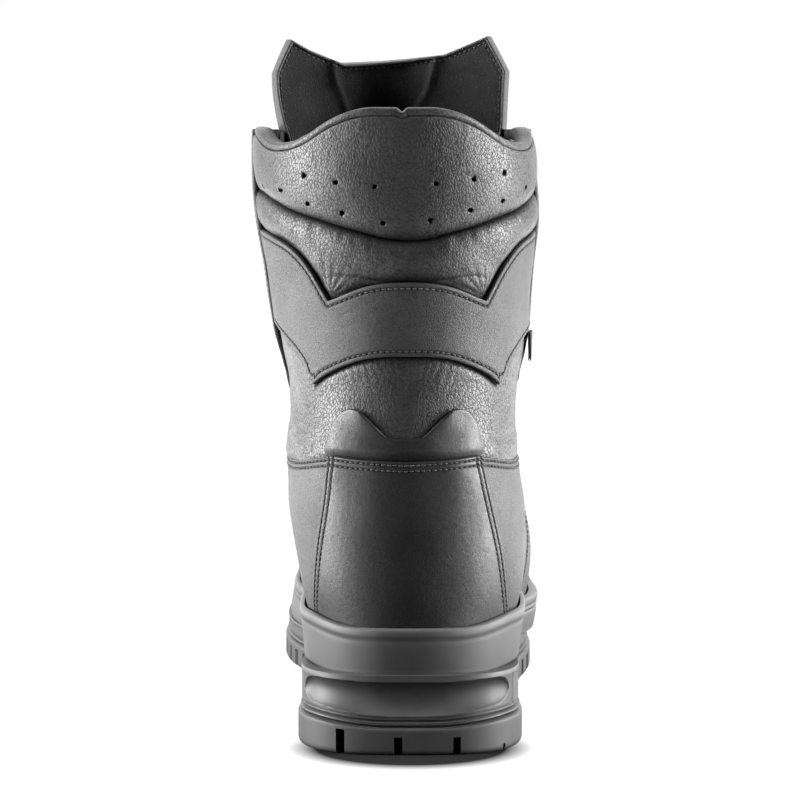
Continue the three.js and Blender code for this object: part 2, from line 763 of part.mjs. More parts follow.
for (const [name, side] of sides) {
  EYELET_LEVELS.forEach((level, i) => {
    const shape = seat(eyelet(), side * EYELET_LINE, level, HARDWARE_DEPTH);
    add(`eyelet_${name}_${i + 1}`, shape, MATERIAL.blackMetal);
  });
  HOOK_LEVELS.forEach((level, i) => {
    const shape = seat(hook(side), side * EYELET_LINE, level, HARDWARE_DEPTH);
    add(`hook_${name}_${i + 1}`, shape, MATERIAL.blackMetal);
  });
}
function sideLabel() {
  const shape = new THREE.BoxGeometry(1.2, 15, 11);
  shape.rotateZ(0.2);
  const level = 145;
  const spot = offsetPoint(shareAtY(-82, level, 1), level, 3.3);
  shape.translate(spot.x, spot.y - 5, spot.z);
  return shape;
}
add("side_label", sideLabel(), MATERIAL.label);

export default boot;
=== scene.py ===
# A right fire boot in black leather: rubber sole unit, lace-up shaft with a padded and vented collar,
# and a tongue that swings back into the shaft. The CAD frame holds sizes and motion, this file the looks.
# All shapes are worked out in millimetres on one design surface and scaled to metres at the end.
from math import radians

import bmesh
import bpy
import numpy as np
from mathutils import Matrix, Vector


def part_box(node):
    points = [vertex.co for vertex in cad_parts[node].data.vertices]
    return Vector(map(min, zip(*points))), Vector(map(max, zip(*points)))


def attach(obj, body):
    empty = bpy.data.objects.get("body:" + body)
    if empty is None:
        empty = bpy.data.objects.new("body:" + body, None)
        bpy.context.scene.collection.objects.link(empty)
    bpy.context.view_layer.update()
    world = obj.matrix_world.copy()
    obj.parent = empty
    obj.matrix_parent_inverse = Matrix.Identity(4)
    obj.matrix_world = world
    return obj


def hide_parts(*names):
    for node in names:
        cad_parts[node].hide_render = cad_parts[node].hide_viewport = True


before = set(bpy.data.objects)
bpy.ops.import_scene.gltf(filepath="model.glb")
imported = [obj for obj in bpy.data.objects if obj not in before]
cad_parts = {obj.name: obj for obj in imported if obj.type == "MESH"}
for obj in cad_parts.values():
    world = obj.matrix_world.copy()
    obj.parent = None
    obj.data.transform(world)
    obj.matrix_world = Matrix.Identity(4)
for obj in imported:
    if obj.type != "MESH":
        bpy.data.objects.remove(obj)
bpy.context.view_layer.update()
print("frame loaded:", len(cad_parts), "CAD nodes")

toMetres = 0.001
lateral, medial = 1, -1
bothSides = (("lateral", lateral), ("medial", medial))


# A natural cubic spline through (x, y) knots, held flat beyond its ends.
def curveThrough(knots):
    x, y = np.array(knots, float).T
    n = len(x)
    h = np.diff(x)
    system = np.eye(n)
    bend = np.zeros(n)
    for i in range(1, n - 1):
        system[i, i - 1:i + 2] = h[i - 1], 2 * (h[i - 1] + h[i]), h[i]
        bend[i] = 6 * ((y[i + 1] - y[i]) / h[i] - (y[i] - y[i - 1]) / h[i - 1])
    curve = np.linalg.solve(system, bend)

    def at(value):
        v = np.clip(np.asarray(value, float), x[0], x[-1])
        i = np.clip(np.searchsorted(x, v, side="right") - 1, 0, n - 2)
        a = (x[i + 1] - v) / h[i]
        b = 1 - a
        lift = ((a**3 - a) * curve[i] + (b**3 - b) * curve[i + 1]) * h[i]**2 / 6
        return a * y[i] + b * y[i + 1] + lift
    return at


# 0 below low, 1 above high, and the cubic 3t^2 - 2t^3 between them.
def smoothStep(low, high, v):
    t = np.clip((np.asarray(v, float) - low) / (high - low), 0, 1)
    return t * t * (3 - 2 * t)


# A bell of height 1 round a centre: e to the minus square of the distance in widths.
def bell(v, centre, width):
    return np.exp(-((v - centre) / width) ** 2)


# Value noise between -1 and 1: random heights on a unit lattice, blended by smooth steps.
def softNoise(x, y, seed):
    lattice = np.random.default_rng(seed).uniform(-1, 1, (128, 128))
    x, y = np.broadcast_arrays(x, y)
    i, j = np.floor(x).astype(int), np.floor(y).astype(int)
    s, t = x - i, y - j
    s, t = s * s * (3 - 2 * s), t * t * (3 - 2 * t)

    def corner(a, b):
        return lattice[(i + a) % 128, (j + b) % 128]
    near = (1 - s) * corner(0, 0) + s * corner(1, 0)
    return (1 - t) * near + t * ((1 - s) * corner(0, 1) + s * corner(1, 1))


# Plus or minus one: the side of the boot that a signed share or distance lies on.
def sideOf(c):
    return np.where(np.asarray(c) >= 0, lateral, medial)


# Rising values from 0 upwards, mirrored to both sides of 0.
def mirrored(c):
    return np.concatenate([-c[:0:-1], c])


# The last that the upper is pulled over. Knots are (level, value), or (place along the foot, value)
# for the heights and widths of the foot.
last = {
    "heelLine": 2.76,
    "footLevel": 31.0,
    "flatLevel": 112.0,
    "toeSwing": -6.5,
    "feather": [(-155, 31), (-100, 30.5), (-60, 28.5), (-20, 24), (20, 20.5), (50, 19.5), (80, 20.5),
        (110, 24), (135, 28.5), (155, 33)],
    "back": [(31, -148), (50, -149.5), (70, -150), (90, -148.5), (110, -146.2), (130, -144.8),
        (155, -145.2), (180, -147.5), (205, -149.5), (230, -150), (270, -149)],
    "ridge": [(31, 148.5), (41, 150), (50, 149.3), (58, 146.3), (65, 140.3), (70, 132), (75.5, 118),
        (82, 96), (89, 72), (99, 46), (112, 23), (128, 4), (148, -11), (170, -20.5), (195, -27),
        (220, -31), (240, -33), (270, -37)],
    "width": [(31, 37), (45, 38.3), (56, 41), (72, 43.4), (92, 44.7), (105, 44), (118, 42.9),
        (128, 43.4), (141, 45.3), (153, 47.2), (168, 48.5), (187, 51.2), (205, 52.6), (225, 52),
        (240, 51.5), (270, 52.5)],
    "outerFoot": [(-150, 0.5), (-105, 1), (-65, -0.5), (-30, 2.5), (0, 7), (30, 10.8), (55, 11.2),
        (85, 9.2), (115, 6), (150, 1.5)],
    "innerFoot": [(-150, 0), (-105, -0.5), (-70, -3), (-35, -6), (0, -3), (30, 4.5), (60, 10.4),
        (85, 11.4), (115, 10.2), (150, 7)],
    "footShare": [(31, 1), (44, 0.92), (58, 0.7), (74, 0.38), (90, 0.08), (104, 0)],
    "noseLength": [(31, 92), (50, 96), (65, 102), (76, 105), (86, 100), (99, 92), (112, 86), (128, 80),
        (148, 74), (170, 69), (195, 66), (220, 62.5), (240, 60), (270, 56)],
    "heelLength": [(31, 44), (60, 46), (90, 50), (120, 52), (150, 54), (200, 55), (270, 55)],
    "nosePower": [(31, 2.3), (60, 2.25), (80, 2.06), (100, 2), (200, 2.04), (270, 2.04)],
    "heelPower": [(31, 2.35), (60, 2.3), (100, 2.2), (130, 2.12), (200, 2.16), (270, 2.16)],
    "lean": [(31, 0), (60, -0.3), (106, -1.6), (120, -1.8), (136, -1), (167, -0.7), (200, -1.4),
        (236, -2.9), (270, -3.2)],
    "turn": [(31, 0), (72, 0.012), (90, -0.008), (105, -0.022), (130, -0.018), (152, -0.04),
        (175, -0.06), (270, -0.06)],
}
form = {key: curveThrough(value) for key, value in last.items() if isinstance(value, list)}


# The toe end swings inwards: a constant times the 1.8th power of the way past the ball.
def toeSwing(y):
    return last["toeSwing"] * np.clip((y - 55) / 95, 0, 1) ** 1.8


# Underside of the tread: flat to the ball of the foot, then the toe spring.
def groundHeight(y):
    return 13 * np.clip((y - 68) / 87, 0, None) ** 1.8


# Half a level line in plan, from the back centre to the front centre: a superellipse quarter round
# the back, a side that follows the width, and a superellipse quarter round the front.
def halfOutline(back, front, backLength, frontLength, backPower, frontPower, widthOf, centreOf, side):
    a = np.linspace(0, np.pi / 2, 220)
    flank = 60
    yBack = back + backLength * (1 - np.cos(a) ** (2 / backPower))
    yMiddle = np.linspace(back + backLength, front - frontLength, flank)[1:-1]
    yFront = front - frontLength + frontLength * np.sin(a) ** (2 / frontPower)
    y = np.concatenate([yBack, yMiddle, yFront])
    share = np.concatenate([np.sin(a) ** (2 / backPower), np.ones(flank - 2),
        np.clip(np.cos(a), 0, 1) ** (2 / frontPower)])
    share[-1] = 0
    return centreOf(y) + side * widthOf(y, side) * share, y


# The same line read by share of its length. Gives x, y and the whole length.
def readByShare(x, y, share):
    run = np.concatenate([[0], np.cumsum(np.hypot(np.diff(x), np.diff(y)))])
    return np.interp(share * run[-1], run, x), np.interp(share * run[-1], run, y), run[-1]


levels = np.arange(24.0, 274.0, 1.0)
shares = np.linspace(0, 1, 401)


# The design surface as a table: plan points by side, level and share, and each line's length.
def tabulate():
    table = np.zeros((2, len(levels), len(shares), 2))
    lengths = np.zeros((2, len(levels)))
    for k, level in enumerate(levels):
        swing = 1 - smoothStep(75, 110, level)
        foot = form["footShare"](level)

        def widthOf(y, side):
            return form["width"](level) + foot * form["outerFoot" if side > 0 else "innerFoot"](y)

        def centreOf(y):
            turned = form["turn"](level) * (y + 150)
            return last["heelLine"] + form["lean"](level) + turned + swing * toeSwing(y)

        for s, side in enumerate((lateral, medial)):
            x, y = halfOutline(form["back"](level), form["ridge"](level), form["heelLength"](level),
                form["noseLength"](level), form["heelPower"](level), form["nosePower"](level),
                widthOf, centreOf, side)
            table[s, k, :, 0], table[s, k, :, 1], lengths[s, k] = readByShare(x, y, shares)
    return table, lengths


table, lengths = tabulate()
print("design surface ready")


# The four Catmull-Rom weights at t between the middle two of four points.
def cubicWeights(t):
    return np.stack([-0.5 * t + t**2 - 0.5 * t**3, 1 - 2.5 * t**2 + 1.5 * t**3,
        0.5 * t + 2 * t**2 - 1.5 * t**3, -0.5 * t**2 + 0.5 * t**3])


# A point of the design surface. u is the share of the level line: 0 at the back centre, 1 at the
# front centre by the lateral side, 2 back at the back centre by the medial side. The table is read
# with cubic weights, and the height drops with the feather line towards the foot.
def surfaceAt(u, level):
    u = np.mod(np.asarray(u, float), 2)
    u, level = np.broadcast_arrays(u, np.asarray(level, float))
    side = (u > 1).astype(int)
    end = len(shares) - 1
    share = np.where(side == 1, 2 - u, u) * end
    row = level - levels[0]
    i = np.clip(np.floor(share).astype(int), 0, end - 1)
    j = np.clip(np.floor(row).astype(int), 1, len(levels) - 3)
    across, up = cubicWeights(share - i), cubicWeights(row - j)
    plan = np.zeros(u.shape + (2,))
    for a in range(4):
        for b in range(4):
            column = i + b - 1
            over = (column < 0) | (column > end)  # past a centre line the other side goes on
            column = np.where(column < 0, -column, np.where(column > end, 2 * end - column, column))
            plan += (up[a] * across[b])[..., None] * table[np.where(over, 1 - side, side), j + a - 1, column]
    fade = 1 - smoothStep(last["footLevel"], last["flatLevel"], level)
    z = level + (form["feather"](plan[..., 1]) - last["footLevel"]) * fade
    return np.concatenate([plan, z[..., None]], axis=-1)


# Outward normal: the step along the level line crossed with the step up.
def normalAt(u, level):
    along = surfaceAt(u + 0.003, level) - surfaceAt(u - 0.003, level)
    up = surfaceAt(u, level + 0.5) - surfaceAt(u, level - 0.5)
    n = np.cross(along, up)
    return n / np.linalg.norm(n, axis=-1, keepdims=True)


# Reads the lateral or the medial one of two rows of values kept for the levels.
def readSide(rows, level, side):
    outer, inner = (np.interp(level, levels, row) for row in rows)
    return np.where(np.asarray(side) > 0, outer, inner)


# Length of half a level line on one side.
def lengthAt(level, side):
    return readSide(lengths, level, side)


# Share of each level line where it passes a place along the foot that is a curve of the level.
def reachAlong(placeOf):
    rows = [[np.interp(placeOf(level), table[s, k, :, 1], shares) for k, level in enumerate(levels)]
        for s in (0, 1)]
    return lambda level, side: readSide(rows, level, side)


# Share of each level line at a distance from the back centre that is a curve of the level.
def reachOver(arcOf):
    return lambda level, side: arcOf(level) / lengthAt(level, side)


# u at a signed distance from the back centre.
def fromBack(arc, level):
    return arc / lengthAt(level, sideOf(arc))


# u at a signed distance from the front centre.
def fromFront(arc, level):
    return 1 - arc / lengthAt(level, sideOf(arc))


# Values from low to top: at the given distances inside both ends, and evenly spread between.
def lines(low, top, count, edge):
    low, top = np.broadcast_arrays(np.asarray(low, float), np.asarray(top, float))
    shape = (-1,) + (1,) * low.ndim
    near = np.array(edge, float).reshape(shape) * np.minimum(1, (top - low) / (2.5 * edge[-1]))
    middle = np.linspace(0, 1, count + 2)[1:-1].reshape(shape)
    start, end = low + near, top - near[::-1]
    return np.concatenate([start, start[-1] + (end[0] - start[-1]) * middle, end])


# Values from low to top whose spacing shrinks to fine near the given spots: the running sum of a
# density, read back at even steps.
def graded(low, top, coarse, fine, spots, width):
    v = np.linspace(low, top, 6000)
    near = np.max([bell(v, s, width) for s in spots], axis=0)
    density = 1 / coarse + near * (1 / fine - 1 / coarse)
    run = np.concatenate([[0], np.cumsum((density[1:] + density[:-1]) / 2 * np.diff(v))])
    return np.interp(np.linspace(0, run[-1], int(run[-1]) + 2), run, v)


# Faces of two stacked grids, outer and inner, joined round their rims.
def closedFaces(rows, columns):
    index = np.arange(rows * columns).reshape(rows, columns)
    layer = rows * columns
    a, b, c, d = index[:-1, :-1], index[:-1, 1:], index[1:, 1:], index[1:, :-1]
    outside = np.stack([a, b, c, d], -1).reshape(-1, 4)
    inside = np.stack([a, d, c, b], -1).reshape(-1, 4) + layer
    ring = np.concatenate([index[0, :-1], index[:-1, -1], index[-1, :0:-1], index[:0:-1, 0]])
    after = np.roll(ring, -1)
    return np.concatenate([outside, inside, np.stack([ring, ring + layer, after + layer, after], -1)])


# Faces of a grid whose columns close into a ring, rows going from the last to the first.
def ringFaces(rows, columns):
    index = np.arange(rows * columns).reshape(rows, columns)
    after = np.roll(index, -1, axis=1)
    return np.stack([index[:-1], after[:-1], after[1:], index[1:]], -1).reshape(-1, 4)


# Faces of a tube of rings, with one flat face over each end.
def tubeFaces(rows, columns):
    faces = ringFaces(rows, columns).tolist()
    faces.append(list(range(columns))[::-1])
    faces.append(list(range((rows - 1) * columns, rows * columns)))
    return faces


# How far a rounded edge drops below the face: a quarter circle of the given radius.
def roundedEdge(distance, radius):
    d = np.clip(distance, 0, radius)
    return radius - np.sqrt(np.clip(radius**2 - (radius - d) ** 2, 0, None))


# Sine of the angle between two directions.
def slant(a, b):
    crossed = np.linalg.norm(np.cross(a, b), axis=-1)
    return crossed / np.maximum(np.linalg.norm(a, axis=-1) * np.linalg.norm(b, axis=-1), 1e-9)


# Distance of each grid point from the borders, along the grid and corrected for slant.
def borderGaps(points):
    rise = np.linalg.norm(np.diff(points, axis=0), axis=-1)
    run = np.linalg.norm(np.diff(points, axis=1), axis=-1)
    up = np.concatenate([np.zeros((1, points.shape[1])), np.cumsum(rise, 0)])
    along = np.concatenate([np.zeros((points.shape[0], 1)), np.cumsum(run, 1)], axis=1)
    borders = {
        "bottom": (up, np.gradient(points[0], axis=0), points[3] - points[0], 0),
        "top": (up[-1] - up, np.gradient(points[-1], axis=0), points[-4] - points[-1], 0),
        "left": (along, np.gradient(points[:, 0], axis=0), points[:, 3] - points[:, 0], 1),
        "right": (along[:, -1:] - along, np.gradient(points[:, -1], axis=0),
            points[:, -4] - points[:, -1], 1),
    }
    gaps = {}
    for name, (length, tangent, inwards, axis) in borders.items():
        sine = np.clip(slant(tangent, inwards), 0.35, 1)
        gaps[name] = length * (sine if axis == 0 else sine[:, None])
    return gaps


# Makes the object: vertices in millimetres, faces, finish, and marks that the finish reads.
def addPiece(name, points, faces, finish, nodes=(), body="boot", marks=None, sharp=48):
    mesh = bpy.data.meshes.new(name)
    places = np.asarray(points).reshape(-1, 3) * toMetres
    mesh.from_pydata(places.tolist(), [], faces if isinstance(faces, list) else faces.tolist())
    for mark, values in (marks or {}).items():
        attribute = mesh.attributes.new(mark, "FLOAT", "POINT")
        attribute.data.foreach_set("value", np.ravel(values).astype(np.float32))
    mesh.validate()
    mesh.shade_smooth()
    mesh.set_sharp_from_angle(angle=radians(sharp))
    mesh.materials.append(finish)
    piece = bpy.data.objects.new(name, mesh)
    bpy.context.scene.collection.objects.link(piece)
    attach(piece, body)
    if nodes:
        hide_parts(*nodes)
    return piece


# Merges the doubled points of closed seams and poles and turns all faces outwards.
def closeSeams(piece, distance=0.00002):
    work = bmesh.new()
    work.from_mesh(piece.data)
    bmesh.ops.remove_doubles(work, verts=work.verts, dist=distance)
    bmesh.ops.dissolve_degenerate(work, edges=work.edges, dist=distance / 2)
    bmesh.ops.recalc_face_normals(work, faces=work.faces)
    work.to_mesh(piece.data)
    work.free()
    piece.data.shade_smooth()
    piece.data.set_sharp_from_angle(angle=radians(48))


# Stitch grooves in a panel, how dark the painted shade on their floor is, and how far in from an edge the
# lighter band, partly wear and partly painted highlight, ends.
seamGroove = {"depth": 0.26, "width": 0.38, "dark": 3.8, "wearAndHighlight": (0.15, 1.1)}


# A leather panel: outer face at its height over the design surface less the rounded edges and the
# stitch grooves, inner face one thickness below. Returns the piece and what the stitches need.
def leatherPanel(name, u, level, face, thick, finish, nodes, radius=0.6, grooves=(), hems=None,
        body="boot", shade=0, place=None):
    base, normal = place or (surfaceAt(u, level), normalAt(u, level))
    gaps = borderGaps(base)
    face = np.broadcast_to(np.asarray(face, float), u.shape)
    radii = dict.fromkeys(gaps, radius) | (hems or {})
    drop = sum(roundedEdge(gaps[border], radii[border]) for border in gaps)
    groove = np.zeros(u.shape)
    for border, distance in grooves:
        groove += seamGroove["depth"] * bell(gaps[border], distance, seamGroove["width"])
    height = face - np.minimum(drop, thick * 0.9) - groove
    front = base + normal * height[..., None]
    back = base + normal * (face - thick)[..., None]
    # Marks for the finish: a lighter band along every edge, partly wear and partly painted highlight, and
    # painted shade in the stitch grooves and wherever the caller paints it.
    wearAndHighlight = 1 - smoothStep(*seamGroove["wearAndHighlight"], np.min(list(gaps.values()), axis=0))
    dark = np.clip(np.clip(groove * seamGroove["dark"], 0, 1) + shade, 0, 1)
    marks = {"wearAndHighlight": np.stack([wearAndHighlight, 0 * wearAndHighlight]), "shade": np.stack([dark, 0 * dark])}
    piece = addPiece(name, np.stack([front, back]), closedFaces(*u.shape), finish, nodes, body, marks)
    return piece, {"front": front, "normal": normal, "gaps": gaps}


# The line on a panel at a distance from one of its borders, with the normals along it.
def seamLine(panel, border, distance, start=0, stop=None):
    both = np.concatenate([panel["front"], panel["normal"]], axis=-1)
    gap = panel["gaps"][border]
    if border in ("left", "right"):
        both, gap = both.swapaxes(0, 1), gap.T
    if border in ("top", "right"):
        both, gap = both[::-1], gap[::-1]
    both, gap = both[:, start:stop], gap[:, start:stop]
    line = np.array([[np.interp(distance, gap[:, k], both[:, k, c]) for c in range(6)]
        for k in range(gap.shape[1])])
    return line[:, :3], line[:, 3:]


# A line's points read at distances v of its run.
def readRow(run, points, v):
    return np.stack([np.interp(v, run, points[:, k]) for k in range(3)], -1)


thread = {"pitch": 2.25, "length": 1.75, "radius": 0.27, "arch": 0.34, "sides": 6, "rise": 0.1}


# Stitches along lines: each is a short arched capsule, thick in the middle and diving into the
# leather at both ends. All of a seam's stitches are one piece.
def sew(name, seams, finish, body="boot", pitch=thread["pitch"], sink=0):
    s = np.array([-1, -0.82, -0.4, 0.4, 0.82, 1])
    size = thread["radius"] * np.array([0.3, 0.85, 1, 1, 0.85, 0.3])
    lift = thread["arch"] * (1 - s**2) - thread["arch"] * 0.45 + thread["rise"] - sink
    a = np.arange(thread["sides"]) / thread["sides"] * 2 * np.pi
    local = np.stack([np.repeat(s * thread["length"] / 2, len(a)),
        np.outer(size, np.cos(a)).ravel(), (lift[:, None] + np.outer(size, np.sin(a))).ravel()], -1)
    rings, sides = len(s), len(a)
    # the sections run the other way round than a tube's, so its faces are turned over
    faces = tubeFaces(rings, sides)
    quads, caps = np.array(faces[:-2])[:, ::-1], np.array(faces[-2:])[:, ::-1]
    allPoints, allFaces, count = [], [], 0
    for line, normal in seams:
        step = np.linalg.norm(np.diff(line, axis=0), axis=-1)
        run = np.concatenate([[0], np.cumsum(step)])
        if run[-1] < 2 * pitch:
            continue
        at = np.arange(0.5 * pitch, run[-1] - 0.4 * pitch, pitch)
        centre, out = readRow(run, line, at), readRow(run, normal, at)
        tangent = readRow(run, line, at + 0.5) - readRow(run, line, at - 0.5)
        tangent /= np.linalg.norm(tangent, axis=-1, keepdims=True)
        out -= tangent * np.sum(out * tangent, -1, keepdims=True)
        out /= np.linalg.norm(out, axis=-1, keepdims=True)
        across = np.cross(out, tangent)
        points = (centre[:, None] + tangent[:, None] * local[:, :1] + across[:, None] * local[:, 1:2]
            + out[:, None] * local[:, 2:])
        first = count + np.arange(len(at))[:, None, None] * rings * sides
        allPoints.append(points.reshape(-1, 3))
        allFaces += (first + quads).reshape(-1, 4).tolist()
        allFaces += (first + caps).reshape(-1, sides).tolist()
        count += len(at) * rings * sides
    return addPiece(name, np.concatenate(allPoints), allFaces, finish, (), body, sharp=80)


# A section carried along a line on the design surface: each section point is so far outwards and
# so far up from the line. The tube is closed round the section and capped at both ends.
def bead(name, u, level, section, finish, nodes, size):
    out, up = np.array(section, float).T[:, None]
    uGrid = np.broadcast_to(u[:, None], (len(u), len(section)))
    levelGrid = level[:, None] + up * size[:, None]
    points = surfaceAt(uGrid, levelGrid) + normalAt(uGrid, levelGrid) * (out * size[:, None])[..., None]
    piece = addPiece(name, points, tubeFaces(*uGrid.shape), finish, nodes)
    closeSeams(piece)


# A node with its inputs: a value sets the socket, a socket of another node is linked to it.
def node(tree, kind, inputs=None, **settings):
    made = tree.nodes.new("ShaderNode" + kind)
    for key, value in settings.items():
        setattr(made, key, value)
    for key, value in (inputs or {}).items():
        socket = made.inputs[key]
        if isinstance(value, bpy.types.NodeSocket):
            tree.links.new(value, socket)
        else:
            socket.default_value = value
    return made


# A finish starts as a Principled shader with its constant values on its own sockets.
def newFinish(name, **constants):
    finish = bpy.data.materials.new(name)
    finish.use_nodes = True
    tree = finish.node_tree
    shader = tree.nodes["Principled BSDF"]
    for key, value in constants.items():
        shader.inputs[key.replace("_", " ")].default_value = value
    return finish, tree, shader


# A colour with three equal parts.
def grey(value):
    return (value, value, value, 1)


# Reads a mark that the mesh carries, 0 where it has none.
def mark(tree, name):
    return node(tree, "Attribute", attribute_name=name, attribute_type="GEOMETRY").outputs["Fac"]


# Maps a value in a straight line from one range to another, and no further.
def mapTo(tree, value, low, high, toLow, toHigh):
    return node(tree, "MapRange", {"Value": value, "From Min": low, "From Max": high, "To Min": toLow,
        "To Max": toHigh}).outputs["Result"]


# Up to three values joined by one sum.
def reckon(tree, operation, *values):
    return node(tree, "Math", dict(enumerate(values)), operation=operation).outputs[0]


# Fractal noise between 0 and 1.
def noise(tree, place, scale, detail, roughness=0.5):
    return node(tree, "TexNoise", {"Vector": place, "Scale": scale, "Detail": detail,
        "Roughness": roughness}).outputs["Fac"]


# A height as a bump, laid over an earlier one.
def bumped(tree, height, strength, distance, earlier=None):
    bump = node(tree, "Bump", {"Height": height, "Strength": strength, "Distance": distance})
    if earlier:
        tree.links.new(earlier, bump.inputs["Normal"])
    return bump.outputs["Normal"]


# Colour from dark to light by a factor.
def blendColour(tree, factor, dark, light):
    return node(tree, "Mix", {0: factor, 6: dark, 7: light}, data_type="RGBA").outputs[2]


# The object's own coordinates, and the same with heights stretched so that what is seen gets taller.
def placeIn(tree, tall=1):
    place = node(tree, "TexCoord").outputs["Object"]
    return place, node(tree, "Mapping", {"Vector": place, "Scale": (1, 1, tall)}).outputs["Vector"]


# Links the shader's sockets by name, and gives the finish.
def finished(finish, tree, shader, **sockets):
    for name, socket in sockets.items():
        tree.links.new(socket, shader.inputs[name.replace("_", " ")])
    return finish


# Leather: pebbles are Voronoi cells pushed about by noise, their creases the cell edges, painted darker as
# shade. Seams, stitch grooves and other marked recesses get painted shade, edges are lighter, partly wear and
# partly painted highlight, and broad noise varies colour and gloss.
def leatherFinish(name, look):
    finish, tree, shader = newFinish(name)
    cells, base, gloss = look["cells"], look["colour"], look["gloss"]
    place, stretched = placeIn(tree, look["tall"])
    stir = node(tree, "TexNoise", {"Vector": place, "Scale": cells * 0.45, "Detail": 2}).outputs["Color"]
    moved = node(tree, "VectorMath", {0: stir, 1: (look["stir"],) * 3, 2: stretched},
        operation="MULTIPLY_ADD").outputs[0]
    cell = node(tree, "TexVoronoi", {"Vector": moved, "Scale": cells}).outputs["Distance"]
    edge = node(tree, "TexVoronoi", {"Vector": moved, "Scale": cells},
        feature="DISTANCE_TO_EDGE").outputs["Distance"]
    crease = mapTo(tree, edge, 0, look["crease"], 0, 1)
    fine = noise(tree, place, cells * 3.1, 3)
    broad = noise(tree, place, 42, 4, 0.6)
    folds = noise(tree, stretched, cells * 0.22, 3)
    shade, wearAndHighlight = mark(tree, "shade"), mark(tree, "wearAndHighlight")

    colour = blendColour(tree, mapTo(tree, broad, 0.3, 0.7, 0, 1), grey(base * 0.78), grey(base * 1.2))
    # painted shade: the grain creases are darkened
    colour = blendColour(tree, mapTo(tree, crease, 0, 1, look["creaseDark"], 0), colour, grey(base * 0.3))
    # lighter edges: partly wear, partly painted highlight
    colour = blendColour(tree, mapTo(tree, wearAndHighlight, 0, 1, 0, look["wearAndHighlight"]), colour, grey(base * 3.2))
    # painted shade where the shade mark is set: seams, grooves, holes and under overlapping edges
    colour = blendColour(tree, shade, colour, grey(0.0015))

    rough = mapTo(tree, broad, 0.3, 0.7, *look["rough"])
    rough = reckon(tree, "ADD", rough, mapTo(tree, crease, 0, 1, 0.12, 0))
    rough = reckon(tree, "ADD", rough, mapTo(tree, shade, 0, 1, 0, 0.35))
    shine = mapTo(tree, crease, 0, 1, gloss * look["creaseShine"], gloss)
    shine = reckon(tree, "MULTIPLY", shine, mapTo(tree, shade, 0, 1, 1, 0.04))

    pebble = reckon(tree, "MULTIPLY_ADD", crease, mapTo(tree, cell, 0, 0.8, 1, 0), crease)
    grain = bumped(tree, pebble, look["depth"], 0.0002)
    soft = bumped(tree, fine, look["fine"], 0.0001, grain)
    waves = bumped(tree, folds, look["waves"], 0.0008, soft)
    return finished(finish, tree, shader, Base_Color=colour, Roughness=rough, Specular_IOR_Level=shine,
        Normal=waves)


# Rubber: matt black with fine moulded speckle, rims lighter partly by wear and partly by painted highlight,
# and painted shade in the grooves.
def rubberFinish(name, colour, rough):
    finish, tree, shader = newFinish(name, Specular_IOR_Level=0.42)
    place = node(tree, "TexCoord").outputs["Object"]
    broad = noise(tree, place, 55, 5, 0.65)
    tone = blendColour(tree, mapTo(tree, broad, 0.3, 0.7, 0, 1), grey(colour * 0.82), grey(colour * 1.2))
    tone = blendColour(tree, mapTo(tree, mark(tree, "wearAndHighlight"), 0, 1, 0, 0.5), tone, grey(colour * 2.2))
    # painted shade in the grooves where the shade mark is set
    tone = blendColour(tree, mark(tree, "shade"), tone, grey(0.002))
    speckle = bumped(tree, noise(tree, place, 2600, 2), 0.16, 0.0001)
    waves = bumped(tree, broad, 0.25, 0.0006, speckle)
    return finished(finish, tree, shader, Base_Color=tone, Normal=waves,
        Roughness=mapTo(tree, broad, 0.25, 0.75, rough - 0.05, rough + 0.08))


# Cloth, suede and foam: a fibrous or cellular height from noise and cells, with loose bright fibres.
def softFinish(name, colour, cells, depth, fibres, sheen):
    finish, tree, shader = newFinish(name, Specular_IOR_Level=0.12, Roughness=0.95, Sheen_Weight=sheen,
        Sheen_Roughness=0.45)
    place = node(tree, "TexCoord").outputs["Object"]
    nap, patch = noise(tree, place, cells, 4, 0.75), noise(tree, place, 60, 4)
    cell = node(tree, "TexVoronoi", {"Vector": place, "Scale": cells}).outputs["Distance"]
    tone = blendColour(tree, mapTo(tree, patch, 0.35, 0.65, 0, 1), grey(colour * 0.65), grey(colour * 1.35))
    tone = blendColour(tree, mapTo(tree, nap, 0.6, 0.74, 0, fibres), tone, grey(min(colour * 9, 0.9)))
    # painted shade where the shade mark is set, such as the tongue's folds and stitch lines
    tone = blendColour(tree, mark(tree, "shade"), tone, grey(0.002))
    return finished(finish, tree, shader, Base_Color=tone,
        Normal=bumped(tree, reckon(tree, "ADD", nap, cell), depth, 0.0003))


# Metal: brushed by long thin noise, its colour varied by broad noise.
def metalFinish(name, colour, rough, metallic):
    finish, tree, shader = newFinish(name, Metallic=metallic)
    place, brushed = placeIn(tree, 0.06)
    strokes, broad = noise(tree, brushed, 3000, 3), noise(tree, place, 260, 4)
    tone = blendColour(tree, mapTo(tree, broad, 0.35, 0.7, 0, 1), grey(colour * 0.8), grey(colour * 1.4))
    return finished(finish, tree, shader, Base_Color=tone, Normal=bumped(tree, strokes, 0.15, 0.00005),
        Roughness=mapTo(tree, strokes, 0.3, 0.7, rough - 0.08, rough + 0.1))


# Thread and woven tape: two crossed waves make the twist or the weave.
def wovenFinish(name, colour, pitch, rough):
    finish, tree, shader = newFinish(name, Specular_IOR_Level=0.25, Roughness=rough)
    place = node(tree, "TexCoord").outputs["Object"]
    scale = 1 / (pitch * 6.28)
    along, across = (node(tree, "TexWave", {"Vector": place, "Scale": scale}, wave_type="BANDS",
        bands_direction=way).outputs["Fac"] for way in ("Z", "DIAGONAL"))
    weave = reckon(tree, "MULTIPLY", along, across)
    return finished(finish, tree, shader, Normal=bumped(tree, weave, 0.4, 0.0002),
        Base_Color=blendColour(tree, weave, grey(colour * 0.6), grey(colour * 1.6)))


